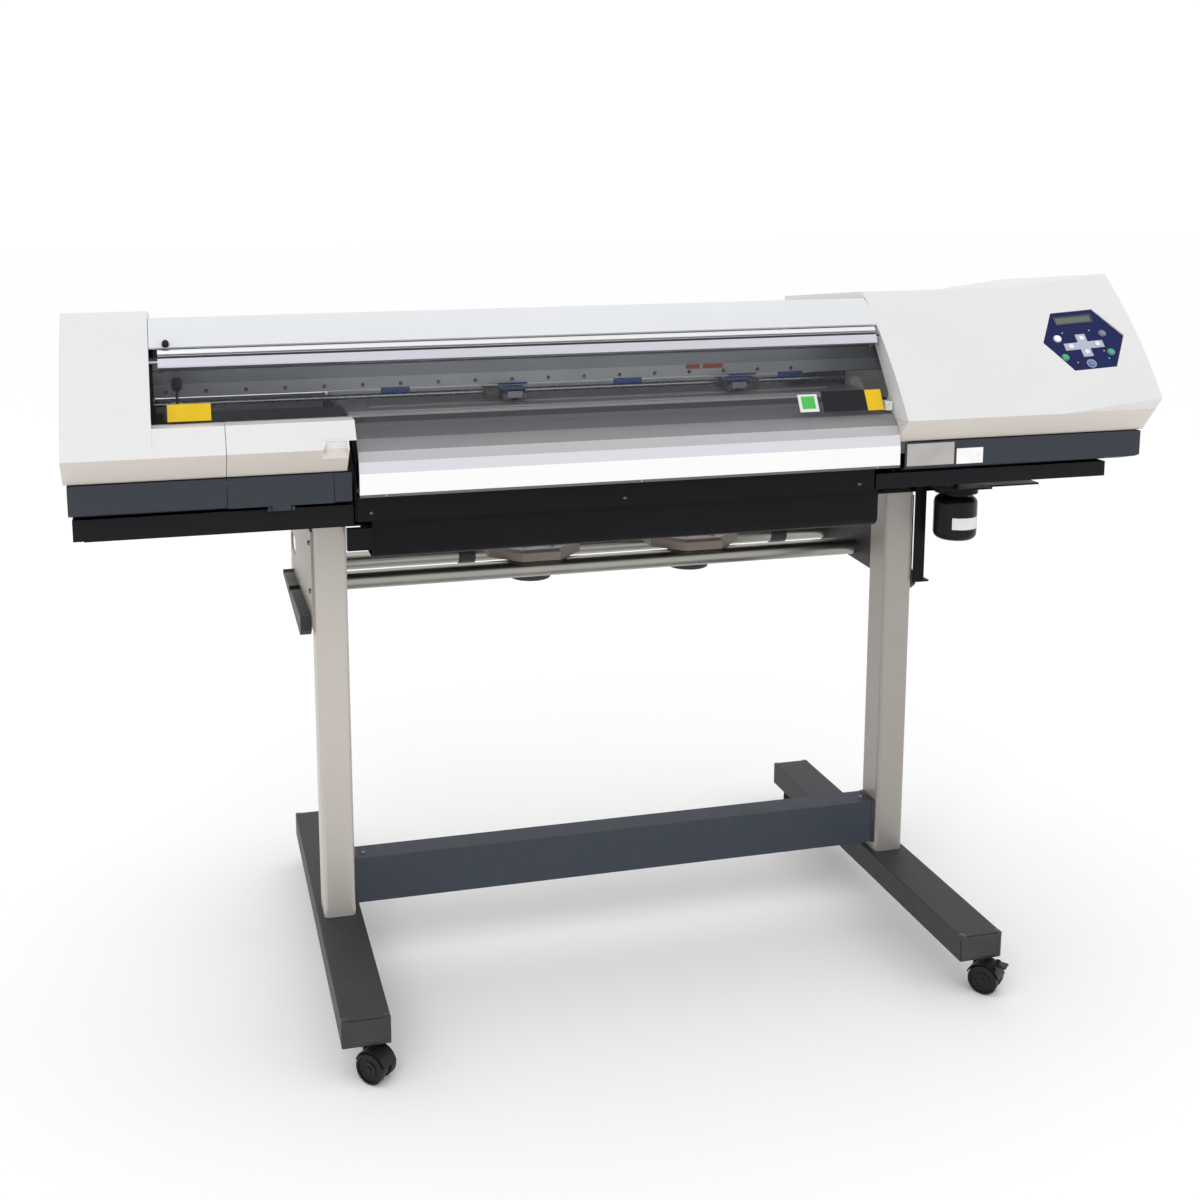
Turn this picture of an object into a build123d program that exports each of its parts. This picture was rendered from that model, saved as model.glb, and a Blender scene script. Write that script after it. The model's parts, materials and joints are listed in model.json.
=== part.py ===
from build123d import *
import math
import os

# A 30-inch roll-fed print-and-cut machine on a castered stand.
# Millimetres. X to the user's right, Y to the rear, Z up. The origin is on the floor, midway between the
# front and rear casters and midway between the machine's two ends.

# ---------------------------------------------------------------- clearances
PLAY = 0.3            # least gap between pieces that move past each other
FIT = 0.05            # radial gap of a shaft in its bore
SEAM = 0.8            # gap between neighbouring covers

# ---------------------------------------------------------------- stand
POST_SPACING = 981.3
STAND_SHIFT = 24.9    # centre of the stand, right of the machine's middle
POST_WIDTH = 52.0
POST_DEPTH = 58.0
POST_FRONT_Y = -56.0
POST_LENGTH = 653.5
POST_ROUND = 7.0
TUBE_WALL = 2.0
FOOT_LENGTH = 718.0
FOOT_WIDTH = 72.0
FOOT_HEIGHT = 42.5
FOOT_BEND = 2.0
BEAM_DEPTH = 45.0
BEAM_HEIGHT = 77.0
BEAM_LIFT = 17.0      # beam's lower face above the feet
BEAM_PLATE = 3.0
BOLT_HEAD_RADIUS = 5.0
BOLT_HEAD_HEIGHT = 3.0

# ---------------------------------------------------------------- casters
CASTER_HEIGHT = 54.0
STEM_SETBACK = 16.0   # stem centre to the end of the foot
STEM_RADIUS = 4.0
STEM_LENGTH = 16.0    # length of stem above the foot's lower face
COLLAR_RADIUS = 11.0
COLLAR_HEIGHT = 3.0
TRAIL = 19.0
WHEEL_RADIUS = 23.0
WHEEL_WIDTH = 13.0
WEB_WIDTH = 12.0
WEB_RADIUS = 20.0
AXLE_RADIUS = 4.0
FENDER_GAP = 1.5
FENDER_WALL = 1.8
FENDER_WIDTH = 30.0
BRAKE_REACH = 33.0    # outer end of the brake lever, from the axle
BRAKE_WIDTH = 15.0
BRAKE_THICKNESS = 3.6
BRAKE_PIN_RADIUS = 1.5
LUG_WIDTH = 2.5
LUG_DROP = 6.3
CASTER_TURNS = {"front_left": -45.0, "front_right": -50.0, "rear_left": 45.0, "rear_right": 50.0}

# ---------------------------------------------------------------- roll holder
SHAFT_RADIUS = 16.0
SHAFT_DROP = 148.5    # shafts below the machine's deck
FRONT_SHAFT_Y = 165.0
SHAFT_PITCH = 130.0
SHAFT_OVERHANG = 1.0
HANGER_WALL = 4.0
HANGER_TAIL = 40.0    # hanger behind the rear shaft
ARM_WIDTH = 18.0
ARM_HEIGHT = 38.0
ARM_FALL = 16.0       # arm's front end below its rear end
SLOT_LENGTH = 86.0
SLOT_HEIGHT = 34.0
HANGER_BAR = (12.0, 22.0)
STOPPER_RADIUS = 18.0
STOPPER_WIDTH = 31.0
LEFT_STOPPER_X = -177.0
RIGHT_STOPPER_X = 443.0
FLANGE_ACROSS = 170.0
FLANGE_THICKNESS = 20.0
HUB_RADIUS = 38.0
HUB_LENGTH = 50.0
HUB_WALL = 3.0
LEFT_FLANGE_X = -70.0
RIGHT_FLANGE_X = 236.0

# ---------------------------------------------------------------- body covers
OVERALL_WIDTH = 1700.0
LEFT_BAY = 408.0      # left end of the machine to the bed
RIGHT_BAY = 442.0     # right end of the machine to the bed
TALL_WIDTH = 122.0
SEAM_SETBACK = 222.0  # seam of the front left cover from the left end
COVER_WALL = 3.0
TOP_Y = -102.0
TOP_LIFT = 350.0      # heights are above the deck, which is the top of the posts
NOSE_Y = -267.0
NOSE_LIFT = 161.0
UNDER_Y = -230.0
UNDER_LIFT = 123.0
REAR_Y = 200.0
TOP_FALL = 28.0
FRONT_BULGE = 9.0
LEDGE_LIFT = 198.0
LEDGE_REAR_Y = -205.0
LEDGE_WALL = 3.0
FLARE_WIDTH = 172.0
FLARE_RISE = 20.0
FLARE_REACH = 8.0
JAMB_DEPTH = 30.0     # right cover's edge wall behind its front surface
JAMB_HEAD = 20.0
JAMB_LAND = 11.0      # jamb around the window's pin
NOTCH_WIDTH = 34.0
NOTCH_HEIGHT = 22.0
NOTCH_DEPTH = 9.0
NOTCH_GAP = 11.0       # cover's right wall set back from the bed
TOP_COVER_DROP = 9.5  # top cover below the side covers
TOP_COVER_LIP_Y = -156.0
TOP_COVER_LIP_LIFT = 301.8
SHEET = 2.5
REAR_SLOT_LOW = 178.0
REAR_SLOT_HIGH = 216.0

# ---------------------------------------------------------------- lower panels and trays
PANEL_Y = -233.0
PANEL_WALL = 2.0
PANEL_TOP_LIFT = 122.0
PANEL_LOW_LIFT = 75.0
PANEL_CHAMFER = 4.5
PANEL_RETURN = 16.0
PANEL_INSET = 5.0     # panels inside the ends of the machine
DOOR_WIDTH = 150.5
DOOR_LOW_LIFT = 77.5
HINGE_RADIUS = 3.5
HINGE_PIN_RADIUS = 1.5
HINGE_Y = -229.3
HINGE_LIFT = 73.0
HINGE_LENGTH = 26.0
CORNER_CUT = 27.0
TRAY_Y = -213.0
TRAY_REAR_Y = -62.0
TRAY_WALL = 2.0
TRAY_TOP_LIFT = 69.0
TRAY_LOW_LIFT = 38.0
RIGHT_TRAY_LOW_LIFT = 44.8
LEFT_TRAY = (8.5, 403.0)     # from the left end of the machine
RIGHT_TRAY = (53.5, 465.0)   # from the right end of the machine

# ---------------------------------------------------------------- chassis
PLATE = 3.0
DECK_FRONT_Y = -58.0
DECK_MARGIN = 14.0
DECK_RIGHT_MARGIN = 70.0
FRAME_REAR_Y = 190.0
FRONT_BEAM_Y = -220.0
FRONT_BEAM_DEPTH = 30.0
FRONT_BEAM_LIFTS = (44.0, 81.0)
FRONT_BEAM_ENDS = (0.0, -30.0)   # from the bed's left and right ends
CHANNEL_WALL = 2.5
LOWER_FRONT_Y = -200.0
LOWER_FRONT_DROP = 19.0
LOWER_FRONT_ENDS = (24.0, -12.0)
LOWER_FRONT_ROUND = 16.0
LATCH_BOX = (36.0, 12.0, 33.0)

# ---------------------------------------------------------------- bed and feed
BED_LIFT = 190.0
PLATEN_THICKNESS = 10.0
PLATEN_FRONT_Y = -128.0
PLATEN_REAR_Y = 150.0
APRON_FRONT_Y = -246.5
APRON_LOW_LIFT = 89.0
APRON_BEND_LIFT = 118.0
APRON_SHOULDER_Y = -170.0
APRON_SHOULDER_FALL = 15.0
APRON_CREASES = ((-219.0, 166.0), (-235.5, 150.0), (-243.0, 136.0))   # y, above the deck
APRON_SHEET = 2.0
APRON_FOLD = 9.0
ROLLER_Y = -66.0
ROLLER_RADIUS = 9.0
ROLLER_JOURNAL = 4.0
ROLLER_MARGIN = 40.0
ROLLER_SLOT = 12.0
GEAR_TEETH = 60
PINION_TEETH = 15
GEAR_MODULE = 0.8
GEAR_WIDTH = 6.0
MOTOR_SIZE = 42.0
MOTOR_LENGTH = 40.0

# ---------------------------------------------------------------- rail and carriage
RAIL_FRONT_Y = -40.0
RAIL_DEPTH = 60.0
RAIL_LOW_LIFT = 214.0
RAIL_HEIGHT = 52.0
RAIL_WALL = 3.0
GUIDE_STRIP = (8.0, 12.0)    # depth, height
GUIDE_STRIP_LIFT = 28.0      # above the rail's lower face
RAIL_SCREW_PITCH = 60.0
RAIL_SCREW_LIFT = 221.0
RAIL_SCREW_COUNT = 18
RAIL_RIGHT_MARGIN = 40.0
SCREW_RADIUS = 3.2
SCREW_HEIGHT = 1.6
CARRIAGE_PARK_X = 600.0
CARRIAGE_FRONT_Y = -140.0
CARRIAGE_LOW_LIFT = 226.0
CARRIAGE_HEIGHT = 58.0
PRINT_WIDTH = 130.0
CUTTER_WIDTH = 58.0
DOCK_WIDTH = 4.0
HEAD_DROP = 32.0
HEAD_BACK_Y = -92.0
BLADE_RADIUS = 6.0
BLADE_Y = -120.0
BLADE_TIP_RADIUS = 1.5
BLADE_TOP_LIFT = 264.0
BLADE_TIP_LIFT = 197.0

# ---------------------------------------------------------------- pinch rollers and lever
LIFT_SHAFT_Y = -36.0
LIFT_SHAFT_LIFT = 202.0
LIFT_SHAFT_RADIUS = 4.0
LEFT_PINCH_X = -172.0
RIGHT_PINCH_X = 204.0
PINCH_ARM_WIDTH = 40.0
PINCH_BRACKET = 22.0
PINCH_RADIUS = 7.0
PINCH_WIDTH = 12.0
PINCH_AXLE = 1.5
LEVER_SETBACK = 160.0        # lever from the left end of the machine
LEVER_LENGTH = 78.0
LEVER_RISE = 30.0            # degrees above level when the rollers are down
LEVER_WIDTH = 14.0
LEVER_KNOB = 8.0

# ---------------------------------------------------------------- hinged front window
WINDOW_TOP_Y = -158.0
WINDOW_TOP_LIFT = 296.0
WINDOW_TILT = 29.9           # degrees from vertical
WINDOW_LENGTH = 146.0
WINDOW_LEFT_LENGTH = 111.0
WINDOW_THICKNESS = 3.0
WINDOW_GAPS = (12.5, 10.0)   # to the left cover and to the right cover
WINDOW_STEP = 14.0           # lower middle part starts right of the bed's left end
WINDOW_ROUND = 10.0
HANDLE_HEIGHT = 28.0
HANDLE_PROUD = 9.0
HANDLE_GROOVE = 3.0
HANDLE_CAP = 6.0
WINDOW_PIN_RADIUS = 4.0
WINDOW_PIN_DROP = 13.0
WINDOW_PIN_BACK = 5.0

# ---------------------------------------------------------------- control panel
PANEL_HALF_WIDTH = 70.0
PANEL_HALF_HEIGHT = 57.0
PANEL_SIDE = 36.0
PANEL_FROM_KINK = 80.0
FASCIA_THICKNESS = 2.0
FASCIA_SINK = 3.0
LEDGE_WIDTH = 3.0
DISPLAY = (62.0, 13.0)
DISPLAY_AT = (-2.5, 40.5)
BUTTON_STEM = 7.0
BUTTON_PROUD = 2.2
BUTTONS = {           # radius, x, y on the panel
    "up_key": (4.0, -2.3, 3.0),
    "down_key": (4.0, -2.3, -24.0),
    "left_key": (4.0, -25.0, -10.7),
    "right_key": (4.0, 20.5, -10.7),
    "function_button": (6.0, -42.5, 6.5),
    "menu_button": (4.6, 37.0, 8.8),
    "enter_button": (5.0, 37.8, -28.5),
    "pause_button": (5.0, -42.0, -30.0),
    "power_button": (4.6, -3.0, -46.5),
}

# ---------------------------------------------------------------- drain bottle, rear sockets
BOTTLE_X = 600.0
BOTTLE_Y = -90.0
BOTTLE_RADIUS = 36.0
BOTTLE_BODY_DROPS = (2.0, 77.0)    # top and bottom below the deck
BOTTLE_ROUND = 12.0
NECK_RADIUS = 20.0
NECK_HEIGHT = 14.0
COLLAR_WALL = 16.0
HOLDER_LIFT = 16.0
HOLDER_SIZE = (96.0, 100.0, 3.0)
STRIP_WIDTH = 20.0
STRIP_LENGTH = 176.0
STRIP_TAB = 15.0
SPOUT_RADIUS = 4.0
INLET_X = 620.0
INLET_LIFT = 60.0
INLET_FLANGE = (50.0, 28.0, 3.0)
INLET_BODY = (30.0, 22.0, 24.0)
INLET_WELL = (24.0, 16.0, 18.0)
INLET_PIN_PITCH = 7.0
INLET_PIN_DEPTH = 6.5
SWITCH_PITCH = 46.0
SWITCH_SIZE = (12.0, 20.0)
VENT_SLOT = (5.0, 40.0)
VENT_PITCH = 14.0
VENT_COUNT = 9

# ---------------------------------------------------------------- places worked out from the sizes
half_width = OVERALL_WIDTH / 2
foot_bottom = CASTER_HEIGHT
foot_top = foot_bottom + FOOT_HEIGHT
deck = foot_top + POST_LENGTH
left_end = -half_width
right_end = half_width
bed_left = left_end + LEFT_BAY
bed_right = right_end - RIGHT_BAY
tall_right = left_end + TALL_WIDTH
seam_x = left_end + SEAM_SETBACK
flare_start = right_end - FLARE_WIDTH
post_xs = (STAND_SHIFT - POST_SPACING / 2, STAND_SHIFT + POST_SPACING / 2)
shaft_z = deck - SHAFT_DROP
rear_shaft_y = FRONT_SHAFT_Y + SHAFT_PITCH
bed_z = deck + BED_LIFT
rail_z = deck + RAIL_LOW_LIFT
lift_shaft_z = deck + LIFT_SHAFT_LIFT
roller_z = bed_z - ROLLER_RADIUS


# ---------------------------------------------------------------- small tools
def block(x0, x1, y0, y1, z0, z1):
    """Box between two corners."""
    return Pos((x0 + x1) / 2, (y0 + y1) / 2, (z0 + z1) / 2) * Box(abs(x1 - x0), abs(y1 - y0), abs(z1 - z0))


def bar_x(y, z, radius, x0, x1):
    """Round bar along X."""
    return Pos((x0 + x1) / 2, y, z) * Rot(0, 90, 0) * Cylinder(radius, abs(x1 - x0))


def bar_y(x, z, radius, y0, y1):
    """Round bar along Y."""
    return Pos(x, (y0 + y1) / 2, z) * Rot(90, 0, 0) * Cylinder(radius, abs(y1 - y0))


def bar_z(x, y, radius, z0, z1):
    """Round bar along Z."""
    return Pos(x, y, (z0 + z1) / 2) * Cylinder(radius, abs(z1 - z0))


def side_prism(points, x0, x1):
    """Solid with the given (y, z) outline between two places along X."""
    face = make_face(Plane.YZ.offset(x0) * Polyline(*points, close=True))
    return extrude(face, amount=x1 - x0, dir=(1, 0, 0))


def front_prism(points, y0, y1):
    """Solid with the given (x, z) outline between two places along Y."""
    face = make_face(Polyline(*[(x, y0, z) for x, z in points], close=True))
    return extrude(face, amount=y1 - y0, dir=(0, 1, 0))


def inset_outline(points, distance):
    """Anticlockwise outline with every side moved inwards."""
    corners = [Vector(*point) for point in points]
    moved = []
    for before, here, after in zip(corners[-1:] + corners[:-1], corners, corners[1:] + corners[:1]):
        first = (here - before).normalized()
        second = (after - here).normalized()
        first_in = Vector(-first.Y, first.X)
        second_in = Vector(-second.Y, second.X)
        corner = here + (first_in + second_in) * (distance / (1 + first_in.dot(second_in)))
        moved.append((corner.X, corner.Y))
    return moved


def open_box_x(x0, x1, y0, y1, z0, z1, wall):
    """Rectangular tube along X, open at both ends."""
    inside = block(x0 - 1, x1 + 1, y0 + wall, y1 - wall, z0 + wall, z1 - wall)
    return block(x0, x1, y0, y1, z0, z1) - inside


def save(shape, name):
    """Write one node."""
    solids = shape.solids()
    whole = solids[0] if len(solids) == 1 else Compound(children=list(solids))
    export_step(whole, f"parts/{name}.step")


# ---------------------------------------------------------------- stand
def make_foot(post_x):
    half_length = FOOT_LENGTH / 2
    x0 = post_x - FOOT_WIDTH / 2
    x1 = post_x + FOOT_WIDTH / 2
    outside = block(x0, x1, -half_length, half_length, foot_bottom, foot_top)
    outside = fillet(outside.edges().filter_by(Axis.Y), FOOT_BEND)
    inside = block(x0 + TUBE_WALL, x1 - TUBE_WALL, TUBE_WALL - half_length, half_length - TUBE_WALL,
                   foot_bottom + TUBE_WALL, foot_top - TUBE_WALL)
    foot = outside - inside
    for side in (-1, 1):
        stem_y = side * (half_length - STEM_SETBACK)
        foot -= bar_z(post_x, stem_y, STEM_RADIUS + FIT, foot_bottom - 1, foot_bottom + TUBE_WALL + 1)
    return foot


def make_post(post_x):
    x0 = post_x - POST_WIDTH / 2
    x1 = post_x + POST_WIDTH / 2
    rear = POST_FRONT_Y + POST_DEPTH
    outside = block(x0, x1, POST_FRONT_Y, rear, foot_top, deck)
    outside = fillet(outside.edges().filter_by(Axis.Z), POST_ROUND)
    inside = block(x0 + TUBE_WALL, x1 - TUBE_WALL, POST_FRONT_Y + TUBE_WALL, rear - TUBE_WALL,
                   foot_top - 1, deck + 1)
    inside = fillet(inside.edges().filter_by(Axis.Z), POST_ROUND - TUBE_WALL)
    return outside - inside


def make_cross_beam():
    x0 = post_xs[0] + POST_WIDTH / 2
    x1 = post_xs[1] - POST_WIDTH / 2
    y0 = POST_FRONT_Y + (POST_DEPTH - BEAM_DEPTH) / 2
    z0 = foot_top + BEAM_LIFT
    beam = open_box_x(x0 + BEAM_PLATE, x1 - BEAM_PLATE, y0, y0 + BEAM_DEPTH, z0, z0 + BEAM_HEIGHT, TUBE_WALL)
    for edge_x in (x0, x1 - BEAM_PLATE):
        beam += block(edge_x, edge_x + BEAM_PLATE, y0, y0 + BEAM_DEPTH, z0, z0 + BEAM_HEIGHT)
    return beam


# ---------------------------------------------------------------- casters
def caster_place(name):
    """Location of a caster's stem on the floor, turned to its trail."""
    side = 0 if name.endswith("left") else 1
    end = -1 if name.startswith("front") else 1
    stem_y = end * (FOOT_LENGTH / 2 - STEM_SETBACK)
    return Pos(post_xs[side], stem_y, 0) * Rot(0, 0, CASTER_TURNS[name])


def make_caster_hood(with_brake):
    """Swivelling body with its stem on the Z axis and its axle along Y, TRAIL away along X."""
    top = CASTER_HEIGHT - PLAY
    neck_top = top - COLLAR_HEIGHT
    hood = bar_z(0, 0, STEM_RADIUS, neck_top, foot_bottom + STEM_LENGTH)
    hood += bar_z(0, 0, COLLAR_RADIUS, neck_top, top)
    hood += bar_z(0, 0, COLLAR_RADIUS - 2, 2 * WHEEL_RADIUS + FENDER_GAP, neck_top)
    hood += bar_y(TRAIL, WHEEL_RADIUS, WEB_RADIUS, -WEB_WIDTH / 2, WEB_WIDTH / 2)
    hood += block(0, TRAIL, -WEB_WIDTH / 2, WEB_WIDTH / 2, WHEEL_RADIUS + 8, WHEEL_RADIUS + 22)
    inner = WHEEL_RADIUS + FENDER_GAP
    outer = inner + FENDER_WALL
    ring = bar_y(TRAIL, WHEEL_RADIUS, outer, -FENDER_WIDTH / 2, FENDER_WIDTH / 2)
    ring -= bar_y(TRAIL, WHEEL_RADIUS, inner, -FENDER_WIDTH, FENDER_WIDTH)
    ring -= block(TRAIL - outer - 1, TRAIL + outer + 1, -FENDER_WIDTH, FENDER_WIDTH, -outer, WHEEL_RADIUS + 6)
    rib = bar_y(TRAIL, WHEEL_RADIUS, outer, -WEB_WIDTH / 2, WEB_WIDTH / 2)
    rib -= bar_y(TRAIL, WHEEL_RADIUS, WEB_RADIUS - 1, -WEB_WIDTH, WEB_WIDTH)
    rib -= block(TRAIL - outer - 1, TRAIL + outer + 1, -WEB_WIDTH, WEB_WIDTH, -outer, WHEEL_RADIUS + 6)
    half_axle = WEB_WIDTH / 2 + PLAY + WHEEL_WIDTH
    hood += ring + rib
    hood += bar_y(TRAIL, WHEEL_RADIUS, AXLE_RADIUS, -half_axle, half_axle)
    if with_brake:
        pin_x = TRAIL + BRAKE_REACH / 2
        pin_z = WHEEL_RADIUS + outer
        for side in (-1, 1):
            lug_y = side * (BRAKE_WIDTH / 2 + PLAY + LUG_WIDTH / 2)
            hood += block(pin_x - 3, pin_x + 3, lug_y - LUG_WIDTH / 2, lug_y + LUG_WIDTH / 2,
                          pin_z - LUG_DROP, pin_z + LUG_WIDTH)
        hood += bar_y(pin_x, pin_z, BRAKE_PIN_RADIUS, -BRAKE_WIDTH / 2 - LUG_WIDTH, BRAKE_WIDTH / 2 + LUG_WIDTH)
    return hood


def make_caster_wheels():
    wheels = []
    for side in (-1, 1):
        inner_y = side * (WEB_WIDTH / 2 + PLAY)
        outer_y = inner_y + side * WHEEL_WIDTH
        wheel = bar_y(TRAIL, WHEEL_RADIUS, WHEEL_RADIUS, inner_y, outer_y)
        wheel = fillet(wheel.edges().filter_by(GeomType.CIRCLE), 1.5)
        wheel -= bar_y(TRAIL, WHEEL_RADIUS, WHEEL_RADIUS * 0.7, outer_y - side * 2, outer_y + side)
        wheel -= bar_y(TRAIL, WHEEL_RADIUS, AXLE_RADIUS + FIT, inner_y - side, outer_y + side)
        wheels.append(wheel)
    return Compound(children=wheels)


def make_caster_brake():
    outer = WHEEL_RADIUS + FENDER_GAP + FENDER_WALL
    pin_x = TRAIL + BRAKE_REACH / 2
    pin_z = WHEEL_RADIUS + outer
    lever = block(pin_x - 3, TRAIL + BRAKE_REACH, -BRAKE_WIDTH / 2, BRAKE_WIDTH / 2,
                  pin_z - BRAKE_THICKNESS / 2, pin_z + BRAKE_THICKNESS / 2)
    lever = fillet(lever.edges().filter_by(Axis.Y), 1.2)
    return lever - bar_y(pin_x, pin_z, BRAKE_PIN_RADIUS + FIT, -BRAKE_WIDTH, BRAKE_WIDTH)


# ---------------------------------------------------------------- roll holder
def make_roll_hangers():
    """Two hanger plates with their arms, and the bar that joins them behind the shafts."""
    pieces = []
    rear = rear_shaft_y + HANGER_TAIL
    top = deck - 8
    low = shaft_z - ARM_HEIGHT / 2
    slot_y = rear_shaft_y - 15
    slot_z = shaft_z + ARM_HEIGHT / 2 + SLOT_HEIGHT / 2 + 8
    for side, post_x in zip((-1, 1), post_xs):
        face_x = post_x + side * POST_WIDTH / 2
        outer_x = face_x + side * HANGER_WALL
        arm_x = outer_x + side * ARM_WIDTH
        points = [(POST_FRONT_Y + 8, low), (rear, low), (rear, top - 50), (rear - 60, top), (POST_FRONT_Y + 8, top)]
        plate = side_prism(points, min(face_x, outer_x), max(face_x, outer_x))
        hole = SLOT_LENGTH / 2 - SLOT_HEIGHT / 2
        plate -= block(face_x - 9, face_x + 9, slot_y - hole, slot_y + hole,
                       slot_z - SLOT_HEIGHT / 2, slot_z + SLOT_HEIGHT / 2)
        for end_y in (slot_y - hole, slot_y + hole):
            plate -= bar_x(end_y, slot_z, SLOT_HEIGHT / 2, face_x - 9, face_x + 9)
        arm_front = POST_FRONT_Y + 26
        arm_rear = rear - 25
        arm_points = [(arm_front, low - ARM_FALL + 10), (arm_front + 14, low - ARM_FALL), (arm_rear, low),
                      (arm_rear, low + 8), (arm_rear - 60, low + 10), (arm_front, low + ARM_HEIGHT / 2)]
        arm = side_prism(arm_points, min(outer_x, arm_x), max(outer_x, arm_x))
        for shaft_y in (FRONT_SHAFT_Y, rear_shaft_y):
            bore = bar_x(shaft_y, shaft_z, SHAFT_RADIUS + FIT, min(face_x, arm_x) - 1, max(face_x, arm_x) + 1)
            plate -= bore
            arm -= bore
        pieces += [plate, arm]
    bar_x0 = post_xs[0] - POST_WIDTH / 2
    bar_x1 = post_xs[1] + POST_WIDTH / 2
    bar_depth, bar_height = HANGER_BAR
    pieces.append(block(bar_x0, bar_x1, rear - bar_depth, rear, low, low + bar_height))
    return Compound(children=pieces)


def shaft_ends():
    reach = POST_WIDTH / 2 + HANGER_WALL + SHAFT_OVERHANG
    return post_xs[0] - reach, post_xs[1] + reach


def make_front_shaft():
    x0, x1 = shaft_ends()
    shaft = bar_x(FRONT_SHAFT_Y, shaft_z, SHAFT_RADIUS, x0, x1)
    return chamfer(shaft.edges().filter_by(GeomType.CIRCLE), 1.5)


def make_rear_shaft():
    x0, x1 = shaft_ends()
    shaft = bar_x(rear_shaft_y, shaft_z, SHAFT_RADIUS, x0, x1)
    shaft = chamfer(shaft.edges().filter_by(GeomType.CIRCLE), 1.5)
    pieces = [shaft]
    for centre_x in (LEFT_STOPPER_X, RIGHT_STOPPER_X):
        ring = bar_x(rear_shaft_y, shaft_z, STOPPER_RADIUS, centre_x - STOPPER_WIDTH / 2, centre_x + STOPPER_WIDTH / 2)
        pieces.append(ring - bar_x(rear_shaft_y, shaft_z, SHAFT_RADIUS, x0, x1))
    return Compound(children=pieces)


def make_media_flange(centre_x):
    """Octagonal flange lying on both shafts, with its core hub hanging between them."""
    centre_y = FRONT_SHAFT_Y + SHAFT_PITCH / 2
    low = shaft_z + SHAFT_RADIUS + PLAY
    plate = extrude(Pos(centre_x, centre_y, low) * Rot(0, 0, 22.5)
                    * RegularPolygon(FLANGE_ACROSS / 2, 8, major_radius=False), amount=FLANGE_THICKNESS)
    plate = chamfer(plate.edges().group_by(Axis.Z)[-1], 5)
    hub = bar_z(centre_x, centre_y, HUB_RADIUS, low - HUB_LENGTH, low + 1)
    hub = fillet(hub.edges().group_by(Axis.Z)[0], 2)
    hollow = bar_z(centre_x, centre_y, HUB_RADIUS - HUB_WALL, low - HUB_LENGTH + HUB_WALL, low + FLANGE_THICKNESS + 1)
    return plate + hub - hollow


# ---------------------------------------------------------------- drain bottle
def make_drain_bottle():
    top = deck - BOTTLE_BODY_DROPS[0]
    low = deck - BOTTLE_BODY_DROPS[1]
    body = bar_z(BOTTLE_X, BOTTLE_Y, BOTTLE_RADIUS, low, top)
    body = fillet(body.edges().filter_by(GeomType.CIRCLE), BOTTLE_ROUND)
    body += bar_z(BOTTLE_X, BOTTLE_Y, NECK_RADIUS, top - 2, top + NECK_HEIGHT - 1)
    inner = bar_z(BOTTLE_X, BOTTLE_Y, BOTTLE_RADIUS - 3, low + 3, top - 3)
    inner = fillet(inner.edges().filter_by(GeomType.CIRCLE), BOTTLE_ROUND - 3)
    return body - inner - bar_z(BOTTLE_X, BOTTLE_Y, NECK_RADIUS - 3, top - 5, top + NECK_HEIGHT)


def make_bottle_bracket():
    low = deck + HOLDER_LIFT
    width, depth, thickness = HOLDER_SIZE
    post_face = post_xs[1] + POST_WIDTH / 2
    plate = block(post_face, post_face + width, BOTTLE_Y - depth / 2, BOTTLE_Y + depth / 2, low, low + thickness)
    collar = bar_z(BOTTLE_X, BOTTLE_Y, NECK_RADIUS + FIT + COLLAR_WALL, low - NECK_HEIGHT + 2, low)
    collar -= bar_z(BOTTLE_X, BOTTLE_Y, NECK_RADIUS + FIT, low - NECK_HEIGHT, low + 1)
    strip_y = DECK_FRONT_Y - PLAY
    strip = block(post_face, post_face + STRIP_WIDTH, strip_y - thickness, strip_y, low - STRIP_LENGTH, low)
    tab = block(post_face + STRIP_WIDTH - 5, post_face + STRIP_WIDTH + STRIP_TAB - 5, strip_y - thickness,
                strip_y + STRIP_TAB, low - STRIP_LENGTH, low - STRIP_LENGTH + thickness)
    standing = block(post_face, post_face + width, BOTTLE_Y + depth / 2 - thickness, BOTTLE_Y + depth / 2,
                     deck + PLATE, low)
    spout = bar_z(BOTTLE_X, BOTTLE_Y, SPOUT_RADIUS, low - NECK_HEIGHT / 2, deck + RIGHT_TRAY_LOW_LIFT)
    return plate + collar + strip + tab + standing + spout


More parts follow.
